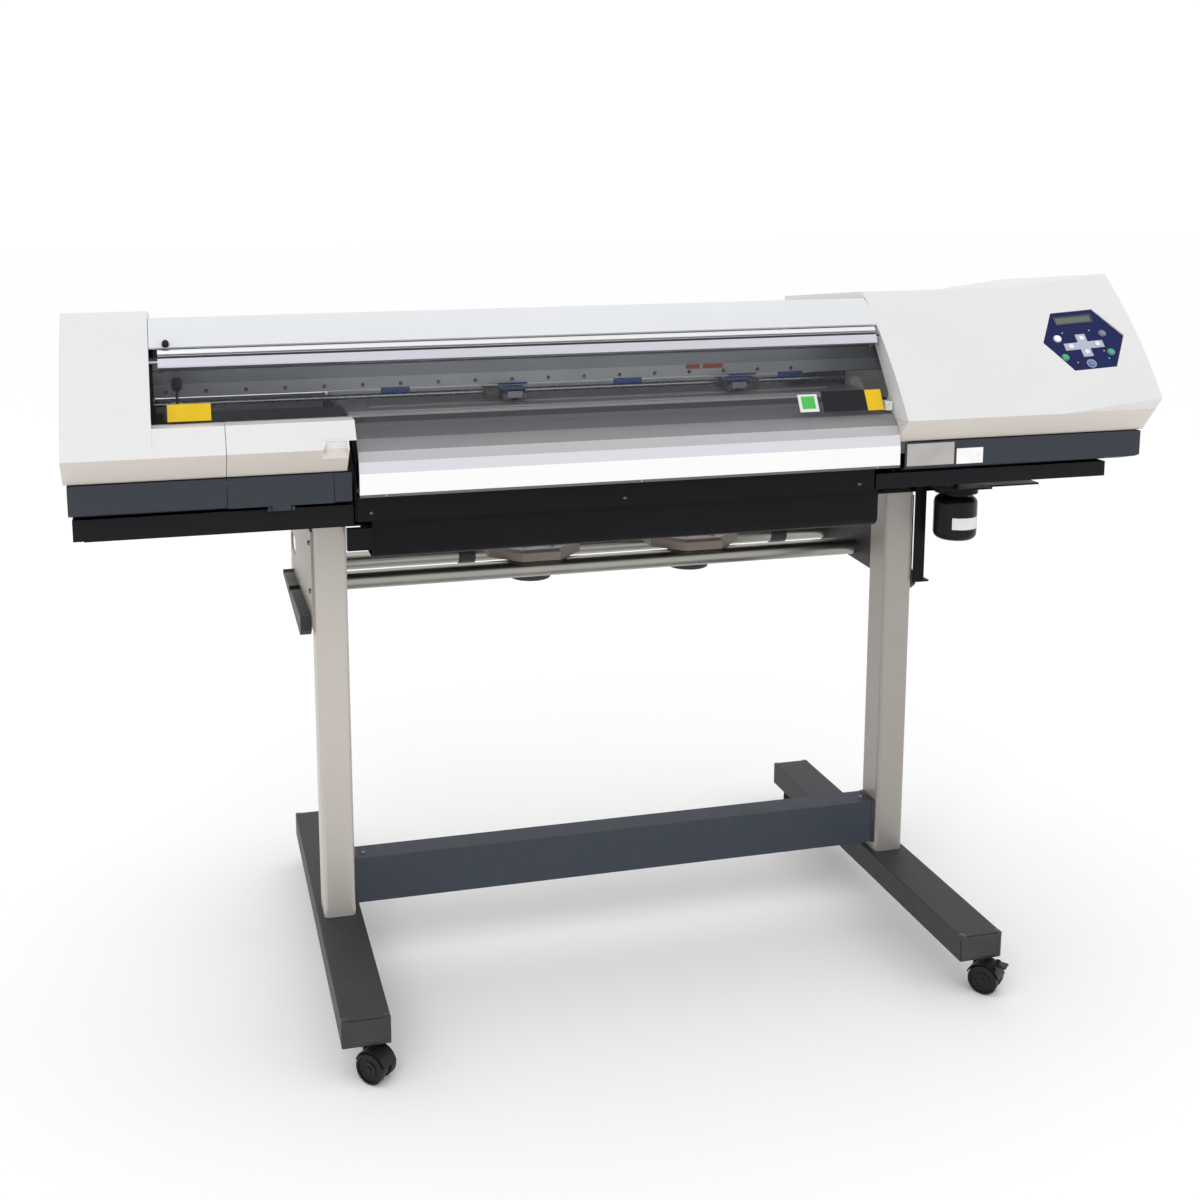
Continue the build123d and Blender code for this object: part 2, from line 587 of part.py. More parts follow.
# ---------------------------------------------------------------- chassis
def make_chassis():
    """Deck plate, left frame, bed's left side plate and right frame."""
    left = left_end + DECK_MARGIN
    right = right_end - DECK_RIGHT_MARGIN
    floor = block(left, right, DECK_FRONT_Y, FRAME_REAR_Y, deck, deck + PLATE)
    window_z = deck + WINDOW_TOP_LIFT
    frame_top_rear = deck + TOP_LIFT - TOP_COVER_DROP - TOP_FALL - 12
    left_points = [(DECK_FRONT_Y, deck), (FRAME_REAR_Y, deck), (FRAME_REAR_Y, frame_top_rear),
                   (TOP_Y, deck + TOP_LIFT - TOP_COVER_DROP - 10), (WINDOW_TOP_Y + 6, window_z - 8),
                   (LEDGE_REAR_Y + 2, deck + LEDGE_LIFT + 6), (LEDGE_REAR_Y + 2, deck + TRAY_TOP_LIFT + 4),
                   (DECK_FRONT_Y, deck + TRAY_TOP_LIFT + 4)]
    frame_x = tall_right + SEAM
    frame = side_prism(left_points, frame_x, frame_x + PLATE)
    frame -= bar_x(window_pin_y(), window_pin_z(), WINDOW_PIN_RADIUS + FIT, frame_x - 1, frame_x + PLATE + 1)
    frame -= bar_x(LIFT_SHAFT_Y, lift_shaft_z, LIFT_SHAFT_RADIUS + FIT, frame_x - 1, frame_x + PLATE + 1)
    bed_top = bed_z - PLATEN_THICKNESS
    side_points = [(DECK_FRONT_Y, deck), (FRAME_REAR_Y, deck), (FRAME_REAR_Y, bed_top), (PLATEN_FRONT_Y, bed_top),
                   (FRONT_BEAM_Y + 4, bed_top - 60), (FRONT_BEAM_Y + 4, deck + FRONT_BEAM_LIFTS[0]),
                   (DECK_FRONT_Y, deck + FRONT_BEAM_LIFTS[0])]
    bed_plate = side_prism(side_points, bed_left - PLATE, bed_left)
    journal = bar_x(ROLLER_Y, roller_z, ROLLER_JOURNAL + FIT, bed_left - PLATE - 1, bed_right + 20)
    bed_plate -= journal
    right_x = bed_right + COVER_WALL + SEAM
    tower = side_points[:2] + [(FRAME_REAR_Y, frame_top_rear), (RAIL_FRONT_Y + 4, frame_top_rear)]
    tower += [(RAIL_FRONT_Y + 4, bed_top)] + side_points[3:5]
    tower += [(FRONT_BEAM_Y + 4, deck + TRAY_TOP_LIFT + 4), (DECK_FRONT_Y, deck + TRAY_TOP_LIFT + 4)]
    right_frame = side_prism(tower, right_x, right_x + PLATE) - journal
    right_frame -= block(right_x - 1, right_x + PLATE + 1, RAIL_FRONT_Y - 1, RAIL_FRONT_Y + RAIL_DEPTH,
                         rail_z, rail_z + RAIL_HEIGHT)
    right_frame -= bar_x(LIFT_SHAFT_Y, lift_shaft_z, LIFT_SHAFT_RADIUS + FIT, right_x - 1, right_x + PLATE + 1)
    bay_deck = block(frame_x + PLATE, bed_left - PLATE, LEDGE_REAR_Y + 2, RAIL_FRONT_Y - 6, bed_z - PLATE, bed_z)
    return floor + frame + bed_plate + right_frame + bay_deck


def make_front_beam():
    low, high = (deck + lift for lift in FRONT_BEAM_LIFTS)
    x0 = bed_left + FRONT_BEAM_ENDS[0]
    x1 = bed_right + FRONT_BEAM_ENDS[1]
    rear = FRONT_BEAM_Y + FRONT_BEAM_DEPTH
    beam = block(x0, x1, FRONT_BEAM_Y, rear, low, high)
    return beam - block(x0 - 1, x1 + 1, FRONT_BEAM_Y + CHANNEL_WALL, rear + 1, low + CHANNEL_WALL, high - CHANNEL_WALL)


def make_lower_front_panel():
    x0 = bed_left + LOWER_FRONT_ENDS[0]
    x1 = bed_right + LOWER_FRONT_ENDS[1]
    top = deck + FRONT_BEAM_LIFTS[0]
    low = deck - LOWER_FRONT_DROP
    panel = block(x0, x1, LOWER_FRONT_Y, DECK_FRONT_Y, low, top)
    panel = fillet(panel.edges().filter_by(Axis.X).group_by(Axis.Z)[0].sort_by(Axis.Y)[0], LOWER_FRONT_ROUND)
    inner = block(x0 - 1, x1 + 1, LOWER_FRONT_Y + PANEL_WALL, DECK_FRONT_Y + 1, low + PANEL_WALL, top + 1)
    inner = fillet(inner.edges().filter_by(Axis.X).group_by(Axis.Z)[0].sort_by(Axis.Y)[0],
                   LOWER_FRONT_ROUND - PANEL_WALL)
    width, depth, height = LATCH_BOX
    latch_x = x0 - 3
    latch = block(latch_x - width, latch_x, LOWER_FRONT_Y - depth, LOWER_FRONT_Y, top - 12 - height, top - 12)
    lip = block(x0, x1, DECK_FRONT_Y - PANEL_WALL, DECK_FRONT_Y, low, deck + PLATE)
    return Compound(children=[(panel - inner) + lip, latch])


# ---------------------------------------------------------------- body covers
def cover_points(rise=0.0, reach=0.0):
    """Side outline of the full covers, anticlockwise from the foot of the front."""
    return [(UNDER_Y, deck + UNDER_LIFT),
            (REAR_Y, deck + UNDER_LIFT),
            (REAR_Y, deck + TOP_LIFT - TOP_FALL + rise),
            (TOP_Y - reach, deck + TOP_LIFT + rise),
            (NOSE_Y - reach, deck + NOSE_LIFT + rise * 0.95)]


def cover_face(points, x):
    """Face of a cover's side outline; its long front side bulges outwards."""
    under, low_rear, top_rear, top, nose = [Vector(x, y, z) for y, z in points]
    slope = (top - nose).normalized()
    middle = (top + nose) / 2 + Vector(0, -slope.Z, slope.Y) * FRONT_BULGE
    front = ThreePointArc(top, middle, nose)
    edges = [Line(under, low_rear), Line(low_rear, top_rear), Line(top_rear, top), front, Line(nose, under)]
    return make_face(edges)


def inner_points(points):
    """Inside of a cover's wall, open underneath."""
    moved = inset_outline(points, COVER_WALL)
    low = points[0][1] - 1
    moved[0] = (moved[0][0], low)
    moved[1] = (moved[1][0], low)
    return moved


def ledge_points():
    """Side outline of the low covers under the window."""
    front_z = deck + LEDGE_LIFT
    chord = (front_z - deck - NOSE_LIFT) / (TOP_LIFT - NOSE_LIFT)
    front_y = NOSE_Y + (TOP_Y - NOSE_Y) * chord - FRONT_BULGE * 4 * chord * (1 - chord)
    return [(UNDER_Y, deck + UNDER_LIFT), (LEDGE_REAR_Y, deck + UNDER_LIFT), (LEDGE_REAR_Y, front_z),
            (front_y, front_z), (NOSE_Y, deck + NOSE_LIFT)]


def low_shell(x0, x1):
    points = ledge_points()
    hollow = inset_outline(points, COVER_WALL)
    hollow[0] = (hollow[0][0], points[0][1] - 1)
    hollow[1] = (hollow[1][0], points[0][1] - 1)
    return side_prism(points, x0, x1) - side_prism(hollow, x0 + COVER_WALL, x1 - COVER_WALL)


def make_left_cover():
    points = cover_points()
    tall = extrude(cover_face(points, left_end), amount=TALL_WIDTH, dir=(1, 0, 0))
    tall -= extrude(cover_face(inner_points(points), left_end + COVER_WALL),
                    amount=TALL_WIDTH - 2 * COVER_WALL, dir=(1, 0, 0))
    low = low_shell(tall_right - COVER_WALL, seam_x)
    bore = bar_x(LIFT_SHAFT_Y, lift_shaft_z, LIFT_SHAFT_RADIUS + 2, tall_right - 9, tall_right + 9)
    bore += bar_x(window_pin_y(), window_pin_z(), WINDOW_PIN_RADIUS + 2, tall_right - 9, tall_right + 9)
    return tall + low - bore


def notch_span():
    """Ends of the finger notch, short of the cover's set-back right wall."""
    x1 = bed_left - PLATE - SEAM - NOTCH_GAP - COVER_WALL
    return x1 - NOTCH_WIDTH, x1


def make_front_left_cover():
    """Low cover with a finger notch; below its top edge it stops short of the bed."""
    cover_end = bed_left - PLATE - SEAM
    wall_x = cover_end - NOTCH_GAP
    nose_z = deck + NOSE_LIFT
    notch_top = nose_z + NOTCH_HEIGHT / 2
    notch_low = nose_z - NOTCH_HEIGHT / 2
    cover = low_shell(seam_x + SEAM, wall_x)
    edge = low_shell(wall_x - COVER_WALL, cover_end)
    cover += edge & block(wall_x - COVER_WALL, cover_end, NOSE_Y - 20, LEDGE_REAR_Y + 1, notch_top,
                          deck + LEDGE_LIFT + 1)
    x0, x1 = notch_span()
    slant = NOTCH_HEIGHT / 4
    scoop = front_prism([(x0, nose_z), (x0 + slant, notch_top), (x1, notch_top), (x1, notch_low),
                         (x0 + slant, notch_low)], NOSE_Y - 20, NOSE_Y + NOTCH_DEPTH)
    backing = block(x0 - 2, x1 + 2, NOSE_Y + NOTCH_DEPTH, NOSE_Y + NOTCH_DEPTH + COVER_WALL, notch_low - 3,
                    notch_top + 3)
    return (cover - scoop) + backing


def make_right_cover():
    flat = cover_points()
    flared = cover_points(FLARE_RISE, FLARE_REACH)
    flat_inner = inner_points(flat)
    flared_inner = inner_points(flared)
    body = extrude(cover_face(flat, bed_right), amount=flare_start - bed_right, dir=(1, 0, 0))
    body += loft([cover_face(flat, flare_start), cover_face(flared, right_end)], ruled=True)
    hollow = extrude(cover_face(flat_inner, bed_right - 1), amount=flare_start - bed_right + 1, dir=(1, 0, 0))
    hollow += loft([cover_face(flat_inner, flare_start), cover_face(flared_inner, right_end - COVER_WALL)], ruled=True)
    shell = body - hollow
    jamb = extrude(cover_face(flat, bed_right), amount=COVER_WALL, dir=(1, 0, 0))
    low_y = UNDER_Y + JAMB_DEPTH
    opening = [(low_y, deck + UNDER_LIFT - 1), (REAR_Y - JAMB_HEAD, deck + UNDER_LIFT - 1),
               (REAR_Y - JAMB_HEAD, deck + TOP_LIFT - TOP_FALL - JAMB_HEAD),
               (TOP_Y + JAMB_DEPTH, deck + TOP_LIFT - JAMB_HEAD),
               (WINDOW_TOP_Y + 2 * JAMB_LAND, deck + WINDOW_TOP_LIFT), (WINDOW_TOP_Y + JAMB_LAND,
               deck + WINDOW_TOP_LIFT - 2 * JAMB_LAND), (low_y, deck + LEDGE_LIFT), (low_y, deck + NOSE_LIFT)]
    jamb -= side_prism(opening, bed_right - 1, bed_right + COVER_WALL + 1)
    jamb -= bar_x(window_pin_y(), window_pin_z(), WINDOW_PIN_RADIUS + FIT, bed_right - 1, bed_right + 9)
    shell += jamb
    plane = panel_plane()
    pocket = extrude(plane * panel_hexagon(SEAM / 2), amount=FLARE_RISE)
    rim = extrude(plane * panel_hexagon(COVER_WALL), amount=-COVER_WALL - FASCIA_THICKNESS)
    shell = shell + rim - pocket
    shell -= extrude(plane * panel_hexagon(SEAM / 2), amount=-FASCIA_THICKNESS - PLAY)
    return shell - extrude(plane * panel_hexagon(-LEDGE_WIDTH), amount=-FLARE_RISE)


def make_top_cover():
    lip = (TOP_COVER_LIP_Y, deck + TOP_COVER_LIP_LIFT)
    crest = (TOP_Y - 8, deck + TOP_LIFT - TOP_COVER_DROP)
    brow = (TOP_Y - 30, deck + TOP_LIFT - TOP_COVER_DROP - 15)
    rear_top = (REAR_Y, deck + TOP_LIFT - TOP_COVER_DROP - TOP_FALL)
    rear_low = (REAR_Y, deck + REAR_SLOT_HIGH)
    outer = [rear_low, rear_top, crest, brow, lip]
    inner = [(lip[0] + SHEET * 0.8, lip[1] - SHEET), (brow[0] + SHEET * 0.6, brow[1] - SHEET),
             (crest[0] + SHEET * 0.3, crest[1] - SHEET), (rear_top[0] - SHEET, rear_top[1] - SHEET),
             (rear_low[0] - SHEET, rear_low[1])]
    return side_prism(outer + inner, tall_right + SEAM, bed_right - SEAM)


def make_rear_cover():
    """Sheet across the back, with vents, the sockets' cut-outs and the lip under the media slot."""
    low = deck + PLATE + SEAM
    shoulder = deck + UNDER_LIFT - SEAM
    high = deck + REAR_SLOT_LOW
    x0 = left_end + PANEL_INSET + PANEL_WALL + SEAM
    x1 = right_end - DECK_RIGHT_MARGIN
    points = [(x0, low), (x1, low), (x1, shoulder), (bed_right - SEAM, shoulder), (bed_right - SEAM, high),
              (tall_right + SEAM, high), (tall_right + SEAM, shoulder), (x0, shoulder)]
    y0 = REAR_Y - SHEET
    cover = front_prism(points, y0, REAR_Y)
    cover += block(bed_left + SEAM, bed_right - SEAM, PLATEN_REAR_Y + SEAM, REAR_Y, high - SHEET, high)
    for centre_x in (-half_width + 230, bed_right - 160):
        for index in range(VENT_COUNT):
            slot_x = centre_x + (index - VENT_COUNT / 2) * VENT_PITCH
            cover -= block(slot_x, slot_x + VENT_SLOT[0], y0 - 1, REAR_Y + 1, low + 25, low + 25 + VENT_SLOT[1])
    inlet_z = deck + INLET_LIFT
    width, height = INLET_BODY[0] + 1, INLET_BODY[1] + 1
    cover -= block(INLET_X - width / 2, INLET_X + width / 2, y0 - 1, REAR_Y + 1,
                   inlet_z - height / 2, inlet_z + height / 2)
    switch_x = INLET_X - SWITCH_PITCH
    width, height = (size / 2 + 3 * PLAY for size in SWITCH_SIZE)
    cover -= block(switch_x - width, switch_x + width, y0 - 1, REAR_Y + 1, inlet_z - height, inlet_z + height)
    return cover


# ---------------------------------------------------------------- lower panels, door, trays
def panel_strip(x0, x1, low_lift, chamfered):
    """Front skin of a lower panel, with its underside return."""
    top = deck + PANEL_TOP_LIFT - SEAM
    low = deck + low_lift
    bend = PANEL_CHAMFER if chamfered else 0.01
    outer = [(PANEL_Y, top), (PANEL_Y, low + bend), (PANEL_Y + 3 * bend, low), (PANEL_Y + PANEL_RETURN, low)]
    inner = [(PANEL_Y + PANEL_RETURN, low + PANEL_WALL), (PANEL_Y + 3 * bend + PANEL_WALL, low + PANEL_WALL),
             (PANEL_Y + PANEL_WALL, low + bend + PANEL_WALL), (PANEL_Y + PANEL_WALL, top)]
    return side_prism(outer + inner, x0, x1)


def door_span():
    x0 = seam_x + SEAM
    return x0, x0 + DOOR_WIDTH


def make_lower_panels():
    low_z = deck + PANEL_LOW_LIFT
    top = deck + PANEL_TOP_LIFT - SEAM
    door_x0, door_x1 = door_span()
    left_x = left_end + PANEL_INSET
    left = panel_strip(left_x, door_x0 - SEAM, PANEL_LOW_LIFT, True)
    left += block(left_x, left_x + PANEL_WALL, PANEL_Y + PANEL_WALL, REAR_Y - SHEET, low_z + PANEL_CHAMFER, top)
    left += block(left_x, left_x + PANEL_WALL, TRAY_REAR_Y, REAR_Y - SHEET, deck + PLATE, top)
    small = panel_strip(door_x1 + SEAM, bed_left - SEAM - 8, PANEL_LOW_LIFT, True)
    axis_z = deck + HINGE_LIFT
    centre = (door_x0 + door_x1) / 2
    reach = HINGE_LENGTH / 2 + 6
    lugs = bar_x(HINGE_Y, axis_z, HINGE_PIN_RADIUS, centre - reach, centre + reach)
    for side in (-1, 1):
        lug_x = centre + side * (reach - 2)
        lugs += block(lug_x - 2, lug_x + 2, HINGE_Y - 3, TRAY_Y + 6, axis_z - 3, axis_z + 3)
    lugs += block(centre - reach, centre + reach, TRAY_Y + 3, TRAY_Y + 6, axis_z - 3, axis_z + 3)
    right_x = right_end - PANEL_INSET
    right = panel_strip(bed_right + 15, right_x, PANEL_LOW_LIFT, True)
    corner = front_prism([(right_x - CORNER_CUT, low_z - 1), (right_x + 1, low_z - 1), (right_x + 1, low_z + 7)],
                         PANEL_Y - 1, PANEL_Y + PANEL_RETURN + 1)
    right -= corner
    right += block(right_x - PANEL_WALL, right_x, PANEL_Y + PANEL_WALL, REAR_Y - SHEET, low_z + 8, top)
    return Compound(children=[left, small, lugs, right])


def make_cartridge_door():
    """Flap that drops forward about a pin along its lower edge."""
    x0, x1 = door_span()
    axis_z = deck + HINGE_LIFT
    centre = (x0 + x1) / 2
    door = block(x0, x1, PANEL_Y, PANEL_Y + PANEL_WALL, deck + DOOR_LOW_LIFT, deck + PANEL_TOP_LIFT - SEAM)
    knuckle = bar_x(HINGE_Y, axis_z, HINGE_RADIUS, centre - HINGE_LENGTH / 2, centre + HINGE_LENGTH / 2)
    knuckle += block(centre - HINGE_LENGTH / 2, centre + HINGE_LENGTH / 2, PANEL_Y, HINGE_Y, axis_z,
                     deck + DOOR_LOW_LIFT + 2)
    return door + knuckle - bar_x(HINGE_Y, axis_z, HINGE_PIN_RADIUS + FIT, x0, x1)


def tray(x0, x1, low):
    top = deck + TRAY_TOP_LIFT
    outside = block(x0, x1, TRAY_Y, TRAY_REAR_Y, low, top)
    return outside - block(x0 + TRAY_WALL, x1 - TRAY_WALL, TRAY_Y + TRAY_WALL, TRAY_REAR_Y - TRAY_WALL,
                           low + TRAY_WALL, top + 1)


def make_drip_trays():
    left = tray(left_end + LEFT_TRAY[0], left_end + LEFT_TRAY[1], deck + TRAY_LOW_LIFT)
    right = tray(right_end - RIGHT_TRAY[1], right_end - RIGHT_TRAY[0], deck + RIGHT_TRAY_LOW_LIFT)
    return Compound(children=[left, right])


# ---------------------------------------------------------------- bed
def make_platen():
    x0 = bed_left + SEAM
    x1 = bed_right - SEAM
    platen = block(x0, x1, PLATEN_FRONT_Y, PLATEN_REAR_Y, bed_z - PLATEN_THICKNESS, bed_z)
    platen -= block(x0 + ROLLER_MARGIN - 4, x1 - ROLLER_MARGIN + 4, ROLLER_Y - ROLLER_SLOT, ROLLER_Y + ROLLER_SLOT,
                    bed_z - PLATEN_THICKNESS - 1, bed_z + 1)
    for groove_y in (PLATEN_FRONT_Y + 6, PLATEN_FRONT_Y + 12):
        platen -= block(x0 - 1, x1 + 1, groove_y, groove_y + 2, bed_z - 1.5, bed_z + 1)
    for side, x in ((1, x0), (-1, x1)):
        groove = bar_x(ROLLER_Y, roller_z, ROLLER_JOURNAL + 2, x - side, x + side * ROLLER_MARGIN)
        platen -= groove
    return platen


def make_apron():
    """Media guide folded in facets that fall from the platen to the front beam."""
    low_z = deck + APRON_LOW_LIFT
    outer = [(PLATEN_FRONT_Y - SEAM, bed_z - 1), (APRON_SHOULDER_Y, bed_z - APRON_SHOULDER_FALL)]
    outer += [(y, deck + lift) for y, lift in APRON_CREASES]
    outer += [(APRON_FRONT_Y, deck + APRON_BEND_LIFT), (APRON_FRONT_Y, low_z), (APRON_FRONT_Y + APRON_FOLD, low_z)]
    inner = [(y + APRON_SHEET, z - APRON_SHEET) for y, z in outer]
    inner[0] = (outer[0][0], outer[0][1] - APRON_SHEET)
    inner[-2] = (APRON_FRONT_Y + APRON_SHEET, low_z + APRON_SHEET)
    inner[-1] = (APRON_FRONT_Y + APRON_FOLD, low_z + APRON_SHEET)
    return side_prism(outer + inner[::-1], bed_left + SEAM, bed_right - SEAM)


def gear_outline(teeth):
    """Wheel with straight-flanked teeth about the origin, one tooth space at the top."""
    tip = GEAR_MODULE * (teeth + 1.6) / 2
    root = GEAR_MODULE * (teeth - 2.4) / 2
    points = []
    for index in range(teeth):
        for share, radius in ((-0.33, root), (-0.13, tip), (0.13, tip), (0.33, root)):
            angle = 2 * math.pi * (index + 0.5 + share) / teeth
            points.append((radius * math.sin(angle), radius * math.cos(angle)))
    return points


def gear_x(teeth, y, z, x0, turned):
    """Gear along X."""
    place = Pos(x0, y, z) * Rot(turned, 0, 0)
    face = make_face(Polyline(*[(0, a, b) for a, b in gear_outline(teeth)], close=True))
    return place * extrude(face, amount=GEAR_WIDTH, dir=(1, 0, 0))


def gear_drive():
    """Place of the gear face and the motor axis below the roller."""
    gear_x0 = bed_right + COVER_WALL + SEAM + PLATE + 3
    centre_gap = GEAR_MODULE * (GEAR_TEETH + PINION_TEETH) / 2 + 0.35
    return gear_x0, roller_z - centre_gap


def make_grit_roller():
    x0 = bed_left + SEAM + ROLLER_MARGIN
    x1 = bed_right - SEAM - ROLLER_MARGIN
    gear_x0, _ = gear_drive()
    roller = bar_x(ROLLER_Y, roller_z, ROLLER_RADIUS, x0, x1)
    roller += bar_x(ROLLER_Y, roller_z, ROLLER_JOURNAL, bed_left - PLATE - 4, gear_x0 + GEAR_WIDTH)
    return roller + gear_x(GEAR_TEETH, ROLLER_Y, roller_z, gear_x0, 180)


def make_feed_pinion():
    gear_x0, axis_z = gear_drive()
    pinion = gear_x(PINION_TEETH, ROLLER_Y, axis_z, gear_x0, 180 / PINION_TEETH)
    return pinion - bar_x(ROLLER_Y, axis_z, 2 + FIT, gear_x0 - 1, gear_x0 + 99)


def make_inner_modules():
    """Feed motor with its shaft, carriage motor, power supply, main board and four ink cartridges."""
    gear_x0, axis_z = gear_drive()
    half = MOTOR_SIZE / 2
    motor_x = gear_x0 + GEAR_WIDTH + 2
    feed = block(motor_x, motor_x + MOTOR_LENGTH, ROLLER_Y - half, ROLLER_Y + half, axis_z - half, axis_z + half)
    feed += bar_x(ROLLER_Y, axis_z, 2, gear_x0 - 1, motor_x + 1)
    drive_x = right_end - RAIL_RIGHT_MARGIN - 60
    drive = block(drive_x, drive_x + MOTOR_SIZE, RAIL_FRONT_Y + RAIL_DEPTH + 2,
                  RAIL_FRONT_Y + RAIL_DEPTH + 2 + MOTOR_LENGTH, rail_z, rail_z + MOTOR_SIZE)
    supply = block(bed_left + 40, bed_left + 240, 40, 150, deck + PLATE, deck + PLATE + 55)
    board = block(bed_right + 60, bed_right + 300, 60, 180, deck + PLATE + 12, deck + PLATE + 14)
    pieces = [feed, drive, supply, board]
    door_x0, _ = door_span()
    for index in range(4):
        x = door_x0 + 10 + index * 34
        pieces.append(block(x, x + 26, PANEL_Y + 12, PANEL_Y + 130, deck + TRAY_TOP_LIFT + 12,
                            deck + PANEL_TOP_LIFT - 6))
    return Compound(children=pieces)


# ---------------------------------------------------------------- rail and carriage
def make_guide_rail():
    x0 = tall_right + SEAM + PLATE
    x1 = right_end - RAIL_RIGHT_MARGIN
    rail = open_box_x(x0, x1, RAIL_FRONT_Y, RAIL_FRONT_Y + RAIL_DEPTH, rail_z, rail_z + RAIL_HEIGHT, RAIL_WALL)
    depth, height = GUIDE_STRIP
    strip_z = rail_z + GUIDE_STRIP_LIFT
    return rail + block(x0, x1, RAIL_FRONT_Y - depth, RAIL_FRONT_Y, strip_z, strip_z + height)


def make_machine_screws():
    """Button-head screws of the rail, the front beam, the apron's edge and the stand."""
    screws = []
    rail_x0 = tall_right + 22
    for index in range(RAIL_SCREW_COUNT):
        x = rail_x0 + index * RAIL_SCREW_PITCH
        screws.append(bar_y(x, deck + RAIL_SCREW_LIFT, SCREW_RADIUS, RAIL_FRONT_Y - SCREW_HEIGHT, RAIL_FRONT_Y))
    beam_x0 = bed_left + FRONT_BEAM_ENDS[0] + 20
    beam_x1 = bed_right + FRONT_BEAM_ENDS[1] - 25
    beam_z = deck + sum(FRONT_BEAM_LIFTS) / 2 - 6
    for x in (beam_x0, (beam_x0 + beam_x1) / 2, beam_x1):
        screws.append(bar_y(x, beam_z, SCREW_RADIUS, FRONT_BEAM_Y - SCREW_HEIGHT, FRONT_BEAM_Y))
    beam_top = foot_top + BEAM_LIFT + BEAM_HEIGHT
    beam_y = POST_FRONT_Y + POST_DEPTH / 2
    inner_left = post_xs[0] + POST_WIDTH / 2
    inner_right = post_xs[1] - POST_WIDTH / 2
    for x in (inner_left + 16, inner_right - 16):
        screws.append(bar_z(x, beam_y, BOLT_HEAD_RADIUS, beam_top, beam_top + BOLT_HEAD_HEIGHT))
    for side, post_x in zip((-1, 1), post_xs):
        face_x = post_x + side * (POST_WIDTH / 2 + HANGER_WALL)
        for bolt_z in (shaft_z + 40, deck - 30):
            screws.append(bar_x(POST_FRONT_Y + POST_DEPTH / 2, bolt_z, BOLT_HEAD_RADIUS,
                                face_x, face_x + side * BOLT_HEAD_HEIGHT))
    return Compound(children=screws)


def make_head_carriage():
    """Print carriage and the cutter carriage docked to its left side."""
    low = deck + CARRIAGE_LOW_LIFT
    top = low + CARRIAGE_HEIGHT
    back = RAIL_FRONT_Y - PLAY
    x0 = CARRIAGE_PARK_X - PRINT_WIDTH / 2
    x1 = CARRIAGE_PARK_X + PRINT_WIDTH / 2
    depth, height = GUIDE_STRIP
    strip_z = rail_z + GUIDE_STRIP_LIFT
    channel = block(x0 - 200, x1 + 9, RAIL_FRONT_Y - depth - PLAY, RAIL_FRONT_Y, strip_z - PLAY, strip_z + height + PLAY)
    prints = block(x0, x1, CARRIAGE_FRONT_Y, back, low, top)
    prints = chamfer(prints.edges().filter_by(Axis.X).group_by(Axis.Z)[-1].sort_by(Axis.Y)[0], 10)
    heads = block(x0 + 14, x1 - 14, CARRIAGE_FRONT_Y + 4, HEAD_BACK_Y, low - HEAD_DROP + 4, low)
    cut_x1 = x0 - DOCK_WIDTH
    cut_x0 = cut_x1 - CUTTER_WIDTH
    cutter = block(cut_x0, cut_x1, CARRIAGE_FRONT_Y + 12, back, low, top - 10)
    cutter = chamfer(cutter.edges().filter_by(Axis.X).group_by(Axis.Z)[-1].sort_by(Axis.Y)[0], 6)
    dock = block(cut_x1, x0, HEAD_BACK_Y, back - 12, low + 8, top - 24)
    blade_x = (cut_x0 + cut_x1) / 2
    bore = bar_z(blade_x, BLADE_Y, BLADE_RADIUS + FIT, low - 1, top + 1)
    return prints + heads + cutter + dock - channel - bore


def make_blade_holder():
    low = deck + CARRIAGE_LOW_LIFT - 8
    x = CARRIAGE_PARK_X - PRINT_WIDTH / 2 - DOCK_WIDTH - CUTTER_WIDTH / 2
    holder = bar_z(x, BLADE_Y, BLADE_RADIUS, low, deck + BLADE_TOP_LIFT + 20)
    cap = bar_z(x, BLADE_Y, BLADE_RADIUS + 2, deck + BLADE_TOP_LIFT + 20, deck + BLADE_TOP_LIFT + 26)
    return holder + cap + bar_z(x, BLADE_Y, BLADE_TIP_RADIUS, deck + BLADE_TIP_LIFT, low)


# ---------------------------------------------------------------- pinch rollers, lever
def pinch_axis():
    return ROLLER_Y, bed_z + PLAY + PINCH_RADIUS


def make_pinch_arm(centre_x, bracket_side):
    """Arm that carries one pinch wheel; it swings on the lift shaft."""
    axle_y, axle_z = pinch_axis()
    half = PINCH_ARM_WIDTH / 2
    low = bed_z + 2.5
    points = [(LIFT_SHAFT_Y + 10, low + 3), (LIFT_SHAFT_Y + 10, lift_shaft_z + 7), (ROLLER_Y - 6, lift_shaft_z + 7),
              (ROLLER_Y - 18, lift_shaft_z + 1), (ROLLER_Y - 18, low + 1), (ROLLER_Y - 6, low)]
    arm = side_prism(points, centre_x - half, centre_x + half)
    edge = centre_x + bracket_side * half
    bracket = side_prism(points, min(edge, edge + bracket_side * PINCH_BRACKET),
                         max(edge, edge + bracket_side * PINCH_BRACKET))
    bracket -= block(edge - PINCH_BRACKET - 1, edge + PINCH_BRACKET + 1, ROLLER_Y - 30, ROLLER_Y, low - 5, low + 40)
    arm += bracket
    well = PINCH_WIDTH / 2 + PLAY
    arm -= block(centre_x - well, centre_x + well, ROLLER_Y - 30, axle_y + PINCH_RADIUS + 1, low - 5, low + 40)
    arm += bar_x(axle_y, axle_z, PINCH_AXLE, centre_x - well - 2, centre_x + well + 2)
    return arm - bar_x(LIFT_SHAFT_Y, lift_shaft_z, LIFT_SHAFT_RADIUS + FIT, centre_x - 99, centre_x + 99)


